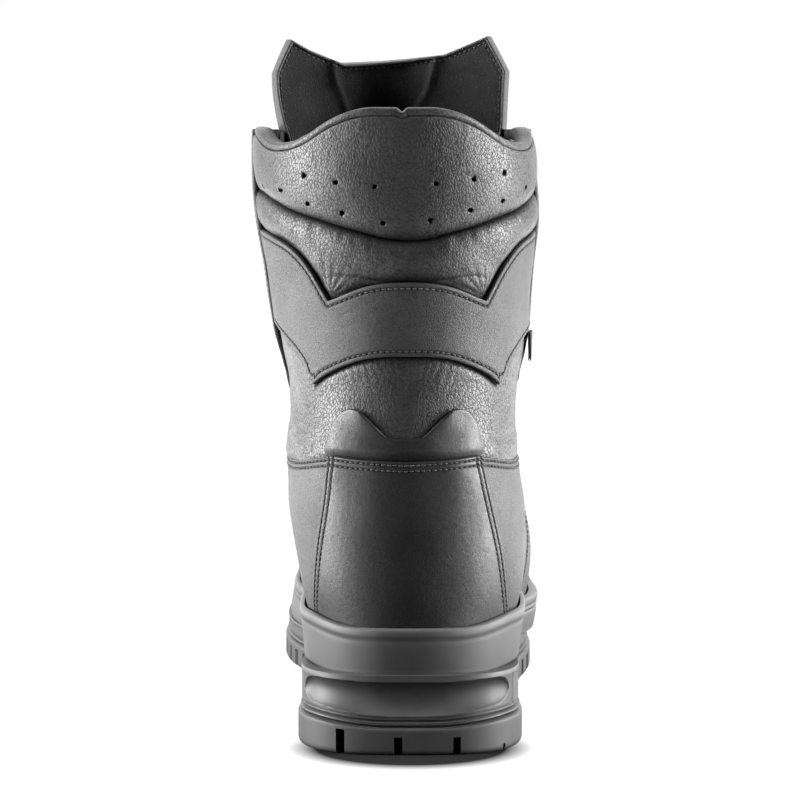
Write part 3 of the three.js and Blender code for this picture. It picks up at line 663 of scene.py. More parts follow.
grainLook = {"colour": 0.007, "gloss": 0.5, "cells": 900, "tall": 0.72, "stir": 0.0011, "crease": 0.13,
    "creaseDark": 0.8, "creaseShine": 0.4, "rough": (0.38, 0.48), "depth": 0.3, "fine": 0.14, "waves": 0.16,
    "wearAndHighlight": 0.4}
smoothLook = {"colour": 0.009, "gloss": 0.5, "cells": 1750, "tall": 0.9, "stir": 0.0005, "crease": 0.22,
    "creaseDark": 0.6, "creaseShine": 0.5, "rough": (0.38, 0.48), "depth": 0.3, "fine": 0.2, "waves": 0.14,
    "wearAndHighlight": 0.5}
polishedLook = dict(smoothLook, colour=0.0025, rough=(0.34, 0.43), depth=0.1)
finishes = {
    "grained": leatherFinish("grained leather", grainLook),
    "smooth": leatherFinish("smooth leather", smoothLook),
    "polished": leatherFinish("polished heel leather", polishedLook),
    "rubber": rubberFinish("sole rubber", 0.03, 0.52),
    "treadRubber": rubberFinish("tread rubber", 0.028, 0.6),
    "suede": softFinish("tongue suede", 0.013, 1500, 0.9, 0.75, 0.06),
    "lining": softFinish("lining fabric", 0.012, 900, 0.6, 0.15, 0.2),
    "foam": softFinish("foam", 0.08, 600, 0.8, 0.1, 0.0),
    "board": softFinish("fibre board", 0.22, 300, 0.3, 0.3, 0.0),
    "steel": metalFinish("brushed steel", 0.5, 0.35, 1.0),
    "blackMetal": metalFinish("black lacquered metal", 0.02, 0.34, 0.7),
    "thread": wovenFinish("sewing thread", 0.04, 0.0006, 0.6),
    "darkThread": wovenFinish("dark thread", 0.006, 0.0006, 0.7),
    "label": wovenFinish("woven label", 0.006, 0.0008, 0.85),
}
print("finishes ready")

# Where panels end along the foot, as shares of the level lines.
seams = {
    "facingBack": [(103, -22), (118, -44), (134, -72), (150, -88), (235, -88)],
    "vampBack": [(31, -16), (55, -2), (80, 14), (103, 24)],
    "counterSide": [(31, 47), (43, 46.6), (52, 44), (62, 41.3), (73.5, 38.8), (85, 35.8), (96, 33.2),
        (106, 31)],
    "throat": 103.0,
    "laceEdge": 17.0,
    "tuckedIn": 3,  # how far the back panels go on under the facings
}
facingCurve = curveThrough(seams["facingBack"])
facingReach = reachAlong(facingCurve)
vampReach = reachAlong(curveThrough(seams["vampBack"]))
counterReach = reachOver(curveThrough(seams["counterSide"]))
shaftReach = reachAlong(lambda level: facingCurve(level) + seams["tuckedIn"])


# Signed distance from the back centre of the point at share c of a reach.
def arcAt(c, level, reach):
    side = sideOf(c)
    return c * reach(level, side) * lengthAt(level, side)


# Level of a seam given by its distance from the back centre, found at shares c of the reach by
# stepping to and fro between the level and the length of its line.
def seamLevel(curve, c, reach):
    level = np.full(c.shape, 150.0)
    for _ in range(5):
        level = curve(np.abs(arcAt(c, level, reach)))
    return level


# The grid of a panel round the back: columns at shares c, rows between two levels. Gives u, level
# and the distance from the back centre.
def backGrid(c, low, top, reach, rows, edge):
    level = lines(low, top, rows, edge)
    return c * reach(level, sideOf(c)), level, arcAt(c, level, reach)


fineEdge = (0, 0.1, 0.28, 0.55, 0.9, 1.35, 1.7, 2.0, 2.3, 2.7, 3.3)
plainEdge = (0, 0.1, 0.3, 0.6, 1.1, 2.0)

# Levels of the collar's edges over the distance from the back centre.
collarTop = curveThrough([(0, 237), (6.5, 237), (13.5, 236.9), (19.5, 235.8), (25, 234), (31.5, 231),
    (38, 227.6), (45, 225.2), (53, 224.3), (60, 224.6), (68, 226.3), (75, 228.3), (110, 229.5)])
collarLow = curveThrough([(0, 188.6), (7, 189), (15.5, 190.8), (25, 193), (36, 195.8), (47, 198.2),
    (58, 201), (70, 204), (110, 208)])


# A curve with a sharp corner: one spline up to the corner, another beyond it.
def cornered(inner, outer):
    one, two, corner = curveThrough(inner), curveThrough(outer), inner[-1][0]
    return lambda arc: np.where(arc <= corner, one(arc), two(arc))


band = {
    "top": ([(0, 173.4), (9, 173), (17, 171.4), (25, 168.4), (30.5, 166.4)],
        [(30.5, 166.4), (33, 169.8), (36, 174), (40, 178.8), (45, 183), (51, 186.3), (60, 188.8), (75, 191),
            (110, 192)]),
    "low": ([(0, 146.1), (8, 146), (15, 145.1), (22.5, 142.9), (30, 139.9), (35, 137.5), (40, 134.5)],
        [(40, 134.5), (43.5, 140), (48, 144.6), (55, 148.5), (63, 151.7), (75, 155), (110, 158)]),
    "face": 1.2, "thick": 1.5, "seams": [("top", 2.0), ("bottom", 2.0)], "cornerColumn": 0.36,
}
bandTop, bandLow = cornered(*band["top"]), cornered(*band["low"])


# Columns share out the low and the top edge in two parts each, so that both corners fall on one
# column. The face is level but for broad noise, and thins out under the facings.
def sewBand():
    near = band["cornerColumn"]
    inner, outer = lines(0, near, 56, (0, 0.004, 0.012)), lines(near, 1, 60, (0, 0.004, 0.012, 0.02))
    v = mirrored(np.concatenate([inner, outer[1:]]))
    side, a = sideOf(v), np.abs(v)

    def sharesOf(curve, corner):
        level = curve(np.array(corner))
        at = corner / (shaftReach(level, side) * lengthAt(level, side))
        return side * np.where(a < near, a / near * at, at + (a - near) / (1 - near) * (1 - at))

    cLow, cTop = sharesOf(bandLow, band["low"][0][-1][0]), sharesOf(bandTop, band["top"][0][-1][0])
    low, top = seamLevel(bandLow, cLow, shaftReach), seamLevel(bandTop, cTop, shaftReach)
    level = lines(low, top, 26, fineEdge)
    t = (level - low) / (top - low)
    c = cLow + (cTop - cLow) * t
    u = c * shaftReach(level, np.broadcast_to(side, level.shape))
    face = band["face"] - 0.7 * smoothStep(0.93, 1, np.abs(c)) + 0.35 * softNoise(c * 6 + 9, level / 12, 3)
    _, panel = leatherPanel("band_leather", u, level, face, band["thick"], finishes["smooth"], ["back_band"],
        0.75, band["seams"])
    sew("band_stitching", [seamLine(panel, *seam) for seam in band["seams"]], finishes["thread"])


sewBand()

# The padded roll under the collar. It bulges, tucks in under the collar with short puckers, and
# creases where the corners of the band hold it down.
roll = {
    "face": -0.3, "puff": 1.5, "tuck": 3.2, "tuckLength": 7.0, "thick": 1.4, "corner": (30.5, 167.5),
    "low": [(0, 168), (24, 164), (32, 163), (45, 178), (60, 184), (110, 187)],
}


# How far a padded piece drops towards its seam: a quarter circle as long as the tuck, fading out
# towards the facings, which press on it.
def tuckedDrop(piece, distance, c):
    depth = piece["tuck"] * (1 - 0.75 * smoothStep(0.78, 0.97, np.abs(c)))
    rise = np.clip(distance / piece["tuckLength"], 0, 1)
    return depth * (1 - np.sqrt(np.clip(1 - (1 - rise) ** 2, 0, 1)))


# The roll's face: half a sine wave between its seams, less the tucks, pleats and one long fold.
def stuffRoll():
    c = mirrored(lines(0, 1, 150, (0, 0.003, 0.01, 0.02)))
    edges = (collarLow, bandTop, curveThrough(roll["low"]))
    seam, hold, low = (seamLevel(curve, c, shaftReach) for curve in edges)
    u, level, arc = backGrid(c, low, seam + 2.6, shaftReach, 62, (0, 0.5, 1.1))
    below, above = seam - level, level - hold
    height = np.maximum(seam - hold, 6)
    face = roll["face"] + roll["puff"] * np.sin(np.pi * np.clip(below / height, 0, 1)) ** 0.8
    face = face - tuckedDrop(roll, below, c) - 0.25 * np.clip(-below, 0, 3)
    face = face - 0.7 * (1 - smoothStep(0, 4, above))
    pucker = softNoise(arc / 1.9, below / 9, 5) + 0.6 * softNoise(arc / 3.9 + 40, below / 12, 6)
    face = face + 0.2 * pucker * bell(below, 2.2, 4.2)
    face = face + 0.16 * softNoise(arc / 7, level / 5, 7) + 0.25 * softNoise(arc / 17, level / 9, 8)
    # short pleats round each corner of the band
    aside, up = np.abs(arc) - roll["corner"][0], level - roll["corner"][1]
    pleat = np.sin(np.arctan2(up, aside) * 9 + np.sign(arc) * roll["corner"][0]) ** 4
    face = face - 0.3 * pleat * bell(np.hypot(aside, up), 5, 7)
    # a long fold from the middle of the band's top edge out to its corners
    fold = 173.6 + 2.2 * smoothStep(6, 30, np.abs(arc)) - 2.4 * smoothStep(26, 34, np.abs(arc))
    face = face - 0.55 * bell(level, fold, 0.8) * (1 - smoothStep(22, 33, np.abs(arc)))
    # painted shade in the tuck under the collar, and painted shadow just above the band's top edge
    shade = np.clip(bell(below, -0.6, 2.0) + 0.8 * (1 - smoothStep(0.1, 1.3, above)), 0, 1)
    piece, _ = leatherPanel("roll_leather", u, level, face, roll["thick"], finishes["grained"],
        ["shaft_roll"], 0.3, shade=shade)


stuffRoll()

# The padded collar with its vent holes. Columns and rows crowd round the holes so that each is a
# real dent with steep walls.
collar = {
    "face": -0.3, "puff": 1.9, "tuck": 2.9, "tuckLength": 6.0, "thick": 1.4, "binding": 3.1,
    "holes": [(11, 209), (25.3, 210.5), (39, 212.8), (53, 207.3), (69, 208.5), (8.5, 195.8), (23.7, 199.3),
        (38.3, 202.5)],
    "holeRows": [0.0, 0.17, 0.2, 0.25, 0.3, 0.38, 0.43, 0.47, 1.0],  # shares of the height where rows crowd
    "holeWidth": 0.95, "holeHeight": 0.8, "holeDepth": 1.15,
    "roll": [(-0.35, -3.4), (0.25, -2.9), (0.55, -2.1), (0.5, -1.2), (0.1, -0.4), (-0.7, 0.0), (-1.8, 0.15),
        (-3.2, 0.1), (-4.6, -0.1), (-5.7, -0.6), (-6.3, -1.5), (-6.4, -2.6), (-6.0, -3.4), (-3.2, -3.5)],
}


# The collar's face: half a sine wave over its height, less the tuck at its seam and the holes, which
# are flat-bottomed ellipses.
def stuffCollar():
    reach = float(shaftReach(205.0, 1) * lengthAt(205.0, 1))
    spots = [side * arc / reach for arc, _ in collar["holes"] for side in (1, -1)]
    c = graded(-1, 1, 1.3 / reach, 0.24 / reach, spots, 1.5 / reach)
    low = seamLevel(collarLow, c, shaftReach)
    top = seamLevel(collarTop, c, shaftReach) - collar["binding"] - 1.3 * bell(c * reach, 0, 1.2)
    level = low + (top - low) * graded(0, 1, 0.03, 0.0075, collar["holeRows"], 0.035)[:, None]
    u, arc = c * shaftReach(level, sideOf(c)), arcAt(c, level, shaftReach)
    above, below = level - low, top - level
    face = collar["face"] + collar["puff"] * np.sin(np.pi * np.clip(above / (top - low + 6), 0, 1)) ** 0.7
    face = face - tuckedDrop(collar, above, c)
    pucker = softNoise(arc / 1.7 + 11, above / 8, 15) + 0.5 * softNoise(arc / 4 + 30, above / 12, 16)
    face = face + 0.13 * pucker * bell(above, 1.5, 3.5) + 0.08 * pucker * bell(below, 0.5, 2.5)
    face = face + 0.12 * softNoise(arc / 8, level / 6, 17) + 0.3 * softNoise(arc / 22, level / 14, 18)
    hole = np.zeros(level.shape)
    for at, height in collar["holes"]:
        for side in (lateral, medial):
            aside, up = arc - side * at, level - height - 0.5 * side
            far = np.hypot(aside / collar["holeWidth"], up / collar["holeHeight"])
            hole = np.maximum(hole, 1 - smoothStep(0.72, 1.12, far))
            face = face - 0.12 * bell(far, 0, 2.2)
    face = face - collar["holeDepth"] * hole
    # painted shade in the vent holes and in the tuck at the seam with the roll
    shade = np.clip(hole * 1.1 + bell(above, -0.4, 1.6), 0, 1)
    piece, _ = leatherPanel("collar_leather", u, level, face, collar["thick"], finishes["grained"],
        ["collar"], 0.5, shade=shade)


stuffCollar()

# The rolled edge on the collar: a soft section carried along the collar's top line, pinched at
# the back centre where its ends meet.
def bindCollar():
    c = mirrored(lines(0, 1, 170, (0, 0.004, 0.009, 0.015, 0.022)))
    reach = float(shaftReach(228.0, 1) * lengthAt(228.0, 1))
    level = seamLevel(collarTop, c, shaftReach) - 1.5 * bell(c * reach, 0, 1.1)
    u = c * shaftReach(level, sideOf(c))
    wobble = 1 + 0.05 * softNoise(c * reach / 2.3, 0.5, 21) + 0.05 * softNoise(c * reach / 6.1, 3.5, 22)
    bead("collar_edge_roll", u, level, collar["roll"], finishes["grained"], ["collar_binding"],
        wobble)


bindCollar()
print("collar and roll done")

# The grained ankle panel runs under the band and behind the counter's stitched edge.
ankle = {"face": -0.3, "puff": 1.0, "thick": 1.5,
    "top": [(0, 151), (20, 148), (38, 144), (50, 151), (63, 157), (110, 164)]}
stitchLine = curveThrough([(0, 105), (13, 105.5), (22.7, 106), (31, 106.2), (39, 104.5), (47.7, 103.2),
    (58.8, 103.6), (83, 101.5), (130, 100)])


# The ankle's face: a bell on each flank, pressed down at the counter's edge and under the band.
def layAnkle():
    c = mirrored(lines(0, 1, 120, (0, 0.004, 0.012)))
    edges = (stitchLine, bandLow, curveThrough(ankle["top"]))
    low, hold, top = (seamLevel(curve, c, shaftReach) for curve in edges)
    low = low - 1.5
    u, level, arc = backGrid(c, low, top, shaftReach, 64, (0, 0.6, 1.4))
    above, below = level - low - 2, hold - level
    face = ankle["face"] + ankle["puff"] * bell(above, 9, 14) * smoothStep(20, 45, np.abs(arc))
    face = face - 1.0 * (1 - smoothStep(0, 4.5, above)) - 1.0 * (1 - smoothStep(-1, 4, below))
    # creases: fan out below the band at the back, and run level round the sides
    fan = np.sin((arc * (1 + 0.012 * below) + 2.2 * softNoise(arc / 9, level / 6, 31)) * 1.15) ** 2
    face = face - 0.14 * fan * bell(below, 8, 13) * (1 - smoothStep(18, 36, np.abs(arc)))
    cross = softNoise(arc / 8, level / 2.1, 33)
    face = face + 0.2 * cross * smoothStep(16, 34, np.abs(arc)) * bell(above, 8, 14)
    face = face + 0.28 * softNoise(arc / 12, level / 8, 34)
    # painted shadow: darker just above the counter's stitched edge and just under the band's lower edge
    shade = 0.7 * (1 - smoothStep(0.0, 1.2, above)) + 0.9 * (1 - smoothStep(0.5, 2.2, below))
    leatherPanel("ankle_leather", u, level, face, ankle["thick"], finishes["grained"], ["ankle_panel"],
        0.3, shade=shade)


layAnkle()

# The heel counter and the two quarters overlap the ankle panel with a stitched edge, and the
# counter overlaps the quarters with two rows of stitches down each side.
counter = {
    "face": 0.9, "thick": 1.6, "low": 31.0, "halfAtTop": 31,
    "columns": (0, 0.003, 0.009, 0.018, 0.03, 0.042, 0.052, 0.065, 0.08, 0.095, 0.105, 0.12),
    "lines": (0, 0.15, 0.4, 0.8, 1.1, 1.4, 1.7, 2.1, 2.6, 3.1, 3.5, 3.9, 4.5),
    "sideSeams": [("left", 1.3), ("left", 3.3), ("right", 1.3), ("right", 3.3)],
    "topSeams": [("top", 1.4), ("top", 3.5)], "pitch": 2.1,
}


# The counter's face is level but for broad noise, and rises a little to its stitched top edge.
def sewCounter():
    c = mirrored(lines(0, 1, 62, counter["columns"]))
    top = stitchLine(np.abs(c * counter["halfAtTop"])) + 2.4
    u, level, _ = backGrid(c, np.full(c.shape, counter["low"]), top, counterReach, 60, counter["lines"])
    face = counter["face"] + 0.25 * softNoise(c * 3.1 + 7, level / 15, 41) + 0.3 * smoothStep(95, 104, level)
    _, panel = leatherPanel("counter_leather", u, level, face, counter["thick"], finishes["polished"],
        ["heel_counter"], 0.55, counter["sideSeams"] + counter["topSeams"])
    rows = [seamLine(panel, *seam, 14) for seam in counter["sideSeams"]]
    rows += [seamLine(panel, *seam) for seam in counter["topSeams"]]
    sew("counter_stitching", rows, finishes["thread"], pitch=counter["pitch"])


quarter = {
    "face": 0.35, "thick": 1.7, "top": 103.2, "overlap": 2.4, "gap": 0.5,
    "lines": (0, 0.15, 0.4, 0.7, 1.0, 1.3, 1.7, 2.3, 2.8, 3.2, 3.6, 4.1),
    "seams": [("top", 1.2), ("top", 3.2)],
}


# A quarter hugs the counter at the back and hollows a little under the ankle.
def sewQuarter(name, side):
    s = lines(0, 1, 90, (0, 0.003, 0.008, 0.015, 0.025))
    top = np.maximum(stitchLine(30 + s * 105) + 2, quarter["top"])
    level = lines(np.full(s.shape, counter["low"]), top, 52, quarter["lines"])
    back = counterReach(level, side) - quarter["overlap"] / lengthAt(level, side)
    front = vampReach(level, side) - quarter["gap"] / lengthAt(level, side)
    u = back + (front - back) * s
    if side < 0:
        u, level, s = (2 - u)[:, ::-1], level[:, ::-1], s[::-1]
    face = quarter["face"] - 0.25 * (1 - smoothStep(0, 0.05, s))
    face = face + 0.3 * softNoise(u * 150 / 14, level / 11, 43 + side)
    face = face - 0.5 * bell(level, 96, 7) * bell(s, 0.42, 0.2)
    _, panel = leatherPanel(f"quarter_leather_{name}", u, level, face, quarter["thick"], finishes["smooth"],
        [f"quarter_{name}"], 0.6, quarter["seams"])
    sew(f"quarter_stitching_{name}", [seamLine(panel, *seam, 3, -3) for seam in quarter["seams"]],
        finishes["thread"], pitch=counter["pitch"])


sewCounter()
for sideName, side in bothSides:
    sewQuarter(sideName, side)
print("ankle, counter and quarters done")

# The heel cover: a polished overlay with two humps and a dip between them. It stands prouder at
# the humps, so their inner edges throw a shadow.
cover = {
    "top": ([(0, 115.7), (4, 115.9), (7, 116.9), (10.4, 120), (13.5, 123), (16.9, 126)],
        [(16.9, 126), (20, 126.5), (23.5, 125.8), (26.8, 123.2), (29.5, 119.2), (32, 113.2), (33.4, 108),
            (34, 104.5)]),
    "low": 102.5, "half": 33.9, "corner": 16.9, "face": 1.0, "proud": 1.0, "thick": 1.4,
}


# The cover's face: a bell over each hump, falling off below, where it dives under the counter.
def shapeCover():
    curve = cornered(*cover["top"])
    edge = (0, 0.12, 0.3, 0.6, 1.0, 1.5)
    inner, outer = lines(0, cover["corner"], 34, edge), lines(cover["corner"], cover["half"], 34, edge)
    arcs = mirrored(np.concatenate([inner, outer[1:]]))
    top = curve(np.abs(arcs))
    level = lines(np.full(arcs.shape, cover["low"]), top, 34, (0, 0.12, 0.35, 0.7, 1.2, 1.8))
    arc = np.broadcast_to(arcs, level.shape)
    u = fromBack(arc, level)
    face = cover["face"] + cover["proud"] * bell(np.abs(arc), 15.5, 6) * smoothStep(114, 123, level)
    face = face - 1.9 * (1 - smoothStep(106.5, 112, level)) - 0.5 * smoothStep(28, 33, np.abs(arc))
    face = face + 0.2 * softNoise(arc / 9, level / 6, 51)
    leatherPanel("heel_cover_leather", u, level, face, cover["thick"], finishes["polished"], ["heel_cover"],
        0.7)


shapeCover()

# The facings carry the lacing. Their rear edge lies over the band and the collar.
facing = {"face": 1.8, "thick": 1.5, "top": 229.5, "seams": [("left", 2.0), ("right", 2.0), ("top", 2.0)],
    "hookSeam": 13.5, "flexAt": 128, "flexWidth": 13}


# A facing's face is highest along its rear edge, and ripples where the ankle flexes.
def sewFacing(name, side):
    s = lines(0, 1, 70, (0, 0.003, 0.009, 0.018, 0.03, 0.045, 0.06, 0.075, 0.095))
    level = lines(np.full(s.shape, seams["throat"] - 1.6), np.full(s.shape, facing["top"]), 110, fineEdge)
    back, front = facingReach(level, side), 1 - seams["laceEdge"] / lengthAt(level, side)
    u = back + (front - back) * s
    if side < 0:
        u, s = (2 - u)[:, ::-1], s[::-1]
    face = facing["face"] - 0.8 * smoothStep(0.03, 0.25, s)
    face = face + 0.4 * softNoise(u * 140 / 18, level / 14, 61 + side)
    flex = bell(level, facing["flexAt"], facing["flexWidth"])
    face = face + 0.35 * flex * softNoise(u * 140 / 22, level / 3.4, 63)
    _, panel = leatherPanel(f"facing_leather_{name}", u, level, face, facing["thick"], finishes["smooth"],
        [f"facing_{name}"], 0.65, facing["seams"])
    sewn = facing["seams"] + [("right" if side > 0 else "left", facing["hookSeam"])]
    sew(f"facing_stitching_{name}", [seamLine(panel, *seam, 2, -2) for seam in sewn], finishes["darkThread"],
        sink=0.3)


for sideName, side in bothSides:
    sewFacing(sideName, side)

# The vamp covers the forefoot, with a stitched toe cap seam and flex creases behind it.
vamp = {
    "capSeam": 93, "capRows": (2.2, 4.4), "flexAt": 62, "flexWidth": 17, "thick": 2.1,
    "toeMiddle": (3, 45), "topSeam": ("top", 2.0),
    "sideSeams": [("left", 1.6), ("left", 3.8), ("right", 1.6), ("right", 3.8)],
}


# The vamp's face: flex creases as stretched noise under a bell, and a step up at the cap seam.
def shapeVamp():
    s = lines(0, 1, 190, (0, 0.002, 0.006, 0.012, 0.02))
    level = lines(np.full(s.shape, 31.0), np.full(s.shape, seams["throat"]), 74, fineEdge)
    back, front = vampReach(level, 1), 2 - vampReach(level, -1)
    u = back + (front - back) * s
    spot = surfaceAt(u, level)
    y, x = spot[..., 1], spot[..., 0]
    wave = softNoise(y / 4.2, x / 26, 71) + 0.5 * softNoise(y / 2.1 + 50, x / 18, 72)
    face = 0.5 + 0.5 * wave * bell(y, vamp["flexAt"], vamp["flexWidth"]) * smoothStep(45, 60, spot[..., 2])
    face = face + 0.3 * softNoise(x / 16, y / 16, 73)
    seam = y + 0.0035 * (x - 3) ** 2 - vamp["capSeam"]
    groove = bell(seam, vamp["capRows"][0], 0.5) + bell(seam, vamp["capRows"][1], 0.5)
    face = face + 0.55 * smoothStep(-0.5, 0.4, seam) - 0.25 * groove
    # painted shade: a dark line at the foot of the step up at the toe cap seam
    shade = 0.5 * bell(seam, -0.3, 0.5)
    _, panel = leatherPanel("vamp_leather", u, level, face, vamp["thick"], finishes["smooth"], ["vamp"],
        0.6, vamp["sideSeams"] + [vamp["topSeam"]], shade=shade)
    rows = [seamLine(panel, *seam, 12) for seam in vamp["sideSeams"]]
    rows.append(seamLine(panel, *vamp["topSeam"], 3, -3))
    # where the cap seam crosses the grid's rows and columns, sorted by angle over the toe
    both = np.concatenate([panel["front"], panel["normal"]], -1)
    for offset in vamp["capRows"]:
        found = []
        for axis in (0, 1):
            gap, place = np.swapaxes(seam - offset, 0, axis), np.swapaxes(both, 0, axis)
            crossed = gap[:-1] * gap[1:] < 0
            t = (gap[:-1][crossed] / (gap[:-1] - gap[1:])[crossed])[:, None]
            found.append(place[:-1][crossed] * (1 - t) + place[1:][crossed] * t)
        found = np.concatenate(found)
        aside, up = found[:, 0] - vamp["toeMiddle"][0], found[:, 2] - vamp["toeMiddle"][1]
        found = found[np.argsort(np.arctan2(aside, up))]
        step = np.linalg.norm(np.diff(found[:, :3], axis=0), axis=1)
        found = found[np.concatenate([[True], step > 0.4])]
        rows.append((found[:, :3], found[:, 3:]))
    sew("vamp_stitching", rows, finishes["thread"])


shapeVamp()
print("facings and vamp done")

# Rubber round the leather: the rand has a rounded bright rim above and hangs over the wedge below.
rand = {"face": 3.4, "thick": 2.0, "crown": 0.45, "lateralEnd": -30.5, "medialEnd": -10.5}
rubberEdge = (0, 0.12, 0.35, 0.7, 1.1, 1.5, 2.0, 2.6)


# Share of the level lines where they pass one place along the foot.
def reachTo(y):
    return reachAlong(lambda level: y)


# The rand's edges rise and fall by smooth steps of the distance from the back; its face is crowned.
def mouldRand():
    ends = [reachTo(rand[key]) for key in ("lateralEnd", "medialEnd")]

    def reach(level, side):
        return np.where(side > 0, ends[0](level, side), ends[1](level, side))

    c = mirrored(lines(0, 1, 150, (0, 0.002, 0.006, 0.012, 0.02)))
    side = sideOf(c)
    arc = np.abs(arcAt(c, 40.0, reach))
    low = 26.7 + 3.2 * smoothStep(10, 48, arc)
    top = 46.6 + 3.4 * smoothStep(18, 46, arc) + 2.4 * smoothStep(60, 80, arc)
    top = top - 13.5 * smoothStep(88, 124, arc)
    level = lines(low, top, 34, rubberEdge)
    u = c * reach(np.maximum(level, last["footLevel"]), side)
    t = (level - low) / (top - low)
    face = rand["face"] + rand["crown"] * np.sin(np.pi * t) ** 0.8
    face = face + 0.25 * bell(top - level, 2.4, 1.1) - 0.14 * bell(top - level, 4.6, 0.9)
    leatherPanel("rand_rubber", u, level, face, rand["thick"], finishes["rubber"], ["heel_rand"],
        1.25, hems={"bottom": 0.9})


# The bumper wraps the toe, highest over it, with two grooves under its rim. Beside the ball of the
# foot it thickens on the lateral side.
bumper = {"low": 29.0, "top": 64, "face": 3.3, "thick": 1.9, "lateralEnd": -30, "medialEnd": -10,
    "bulge": 2.2, "bulgeAt": 42, "bulgeWidth": 34, "grooves": (3.4, 5.4)}


def mouldBumper():
    s = lines(0, 1, 220, (0, 0.002, 0.006, 0.012))
    share = np.abs(2 * s - 1)
    top = bumper["top"] - 20 * smoothStep(0.2, 0.52, share) - 6 * smoothStep(0.85, 1, share)
    level = lines(np.full(s.shape, bumper["low"]), top, 44, rubberEdge)
    back = reachTo(bumper["lateralEnd"])(level, lateral)
    front = 2 - reachTo(bumper["medialEnd"])(level, medial)
    u = back + (front - back) * s
    t = (level - bumper["low"]) / (top - bumper["low"])
    bulge = bumper["bulge"] * bell(surfaceAt(u, level)[..., 1], bumper["bulgeAt"], bumper["bulgeWidth"])
    bulge = bulge * (u < 1)
    face = bumper["face"] + 0.3 * np.sin(np.pi * t) + bulge
    face = face - sum(0.45 * bell(top - level, depth, 0.5) for depth in bumper["grooves"])
    # painted shade in the two grooves under the rim
    shade = 0.6 * sum(bell(top - level, depth, 0.45) for depth in bumper["grooves"])
    leatherPanel("bumper_rubber", u, level, face, bumper["thick"] + bulge, finishes["rubber"], ["toe_bumper"],
        1.1, hems={"bottom": 0.8}, shade=shade)


mouldRand()
mouldBumper()

# The sole's outline in plan, moved inwards by an inset, read at shares of both halves.
sole = {
    "back": -155.0, "front": 155.0,
    "outer": [(-155, 42), (-115, 42.4), (-75, 41.2), (-35, 41.5), (0, 46), (30, 51.3), (50, 52.5), (75, 51.3),
        (110, 47.5), (155, 42)],
    "inner": [(-155, 42), (-115, 42), (-80, 39.2), (-45, 33.8), (-15, 33.8), (15, 41.5), (42, 50), (65, 53.5),
        (85, 54), (110, 52), (155, 48)],
    "backLength": 40, "frontLength": 98, "backPower": 3.0, "frontPower": 2.35, "treadTop": 10.0,
}
soleOuter, soleInner = curveThrough(sole["outer"]), curveThrough(sole["inner"])
insetSteps = np.linspace(0, 14, 29)


# The middle line of the sole.
def soleMiddle(y):
    return last["heelLine"] + toeSwing(y)


# One half of the outline at an inset. The end arcs shorten by 0.6 of it.
def soleHalf(inset, side, backPower=sole["backPower"]):
    return halfOutline(sole["back"] + inset, sole["front"] - inset, sole["backLength"] - 0.6 * inset,
        sole["frontLength"] - 0.6 * inset, backPower, sole["frontPower"],
        lambda y, d: (soleOuter(y) if d > 0 else soleInner(y)) - inset, soleMiddle, side)


# The joint between tread and wedge is lowest at the back centre and rises to the heel's corners.
def jointRise(arc):
    return -0.3 + 2.5 * (smoothStep(8, 44, arc) - smoothStep(60, 100, arc))


# A table of the outline's plan points: insets by columns.
def tabulateSole(share, side):
    return np.array([np.stack(readByShare(*soleHalf(i, side), share)[:2], -1) for i in insetSteps])


# Reads such a table in straight lines between its insets, for rows by columns of insets.
def soleAt(tableOf, inset):
    k = np.clip(inset / (insetSteps[1] - insetSteps[0]), 0, len(insetSteps) - 1.001)
    i = np.floor(k).astype(int)
    f = (k - i)[..., None]
    column = np.broadcast_to(np.arange(inset.shape[1]), inset.shape)
    return tableOf[i, column] * (1 - f) + tableOf[i + 1, column] * f


# A copy of a ring drawn in by a share towards the middle line, and along the foot by part of it.
def drawnIn(ring, share, alongToo):
    points = ring.copy()
    points[:, 0] += (soleMiddle(ring[:, 1]) - ring[:, 0]) * share
    points[:, 1] *= 1 - alongToo * share
    return points


# Joins the lateral and the medial half of a set of rings into whole ones.
def wholeRings(halves):
    return np.concatenate([halves[0], halves[1][:, -2:0:-1]], axis=1)


# The wedge between tread and upper. Its wall is a profile of lips and steps carried round the
# outline; at the back a hollow with round ends is scooped out of it.
wedge = {
    "profile": [(-0.2, 1.0), (0.3, 1.0), (0.45, 1.9), (0.95, 1.95), (1.15, 1.15), (1.7, 1.0), (2.2, 1.15),
        (2.4, 1.9), (2.75, 2.0), (3.0, 1.6), (3.5, 1.5), (4.2, 1.45), (6, 1.4), (10, 1.4), (14, 1.4),
        (17, 1.3), (18.8, 1.2), (20.4, 1.4)],
    "heelArc": 60,  # columns are fine up to here from the back, then spread to the toe
    "hollowDepth": 3.6, "hollowMiddle": 10.9, "hollowRise": (-0.2, -0.6), "hollowHalf": (6.3, -1.5),
    "lateralEnd": 33.5, "medialEnd": 40.0, "roundEnd": 8.5, "height": 20.4,
}


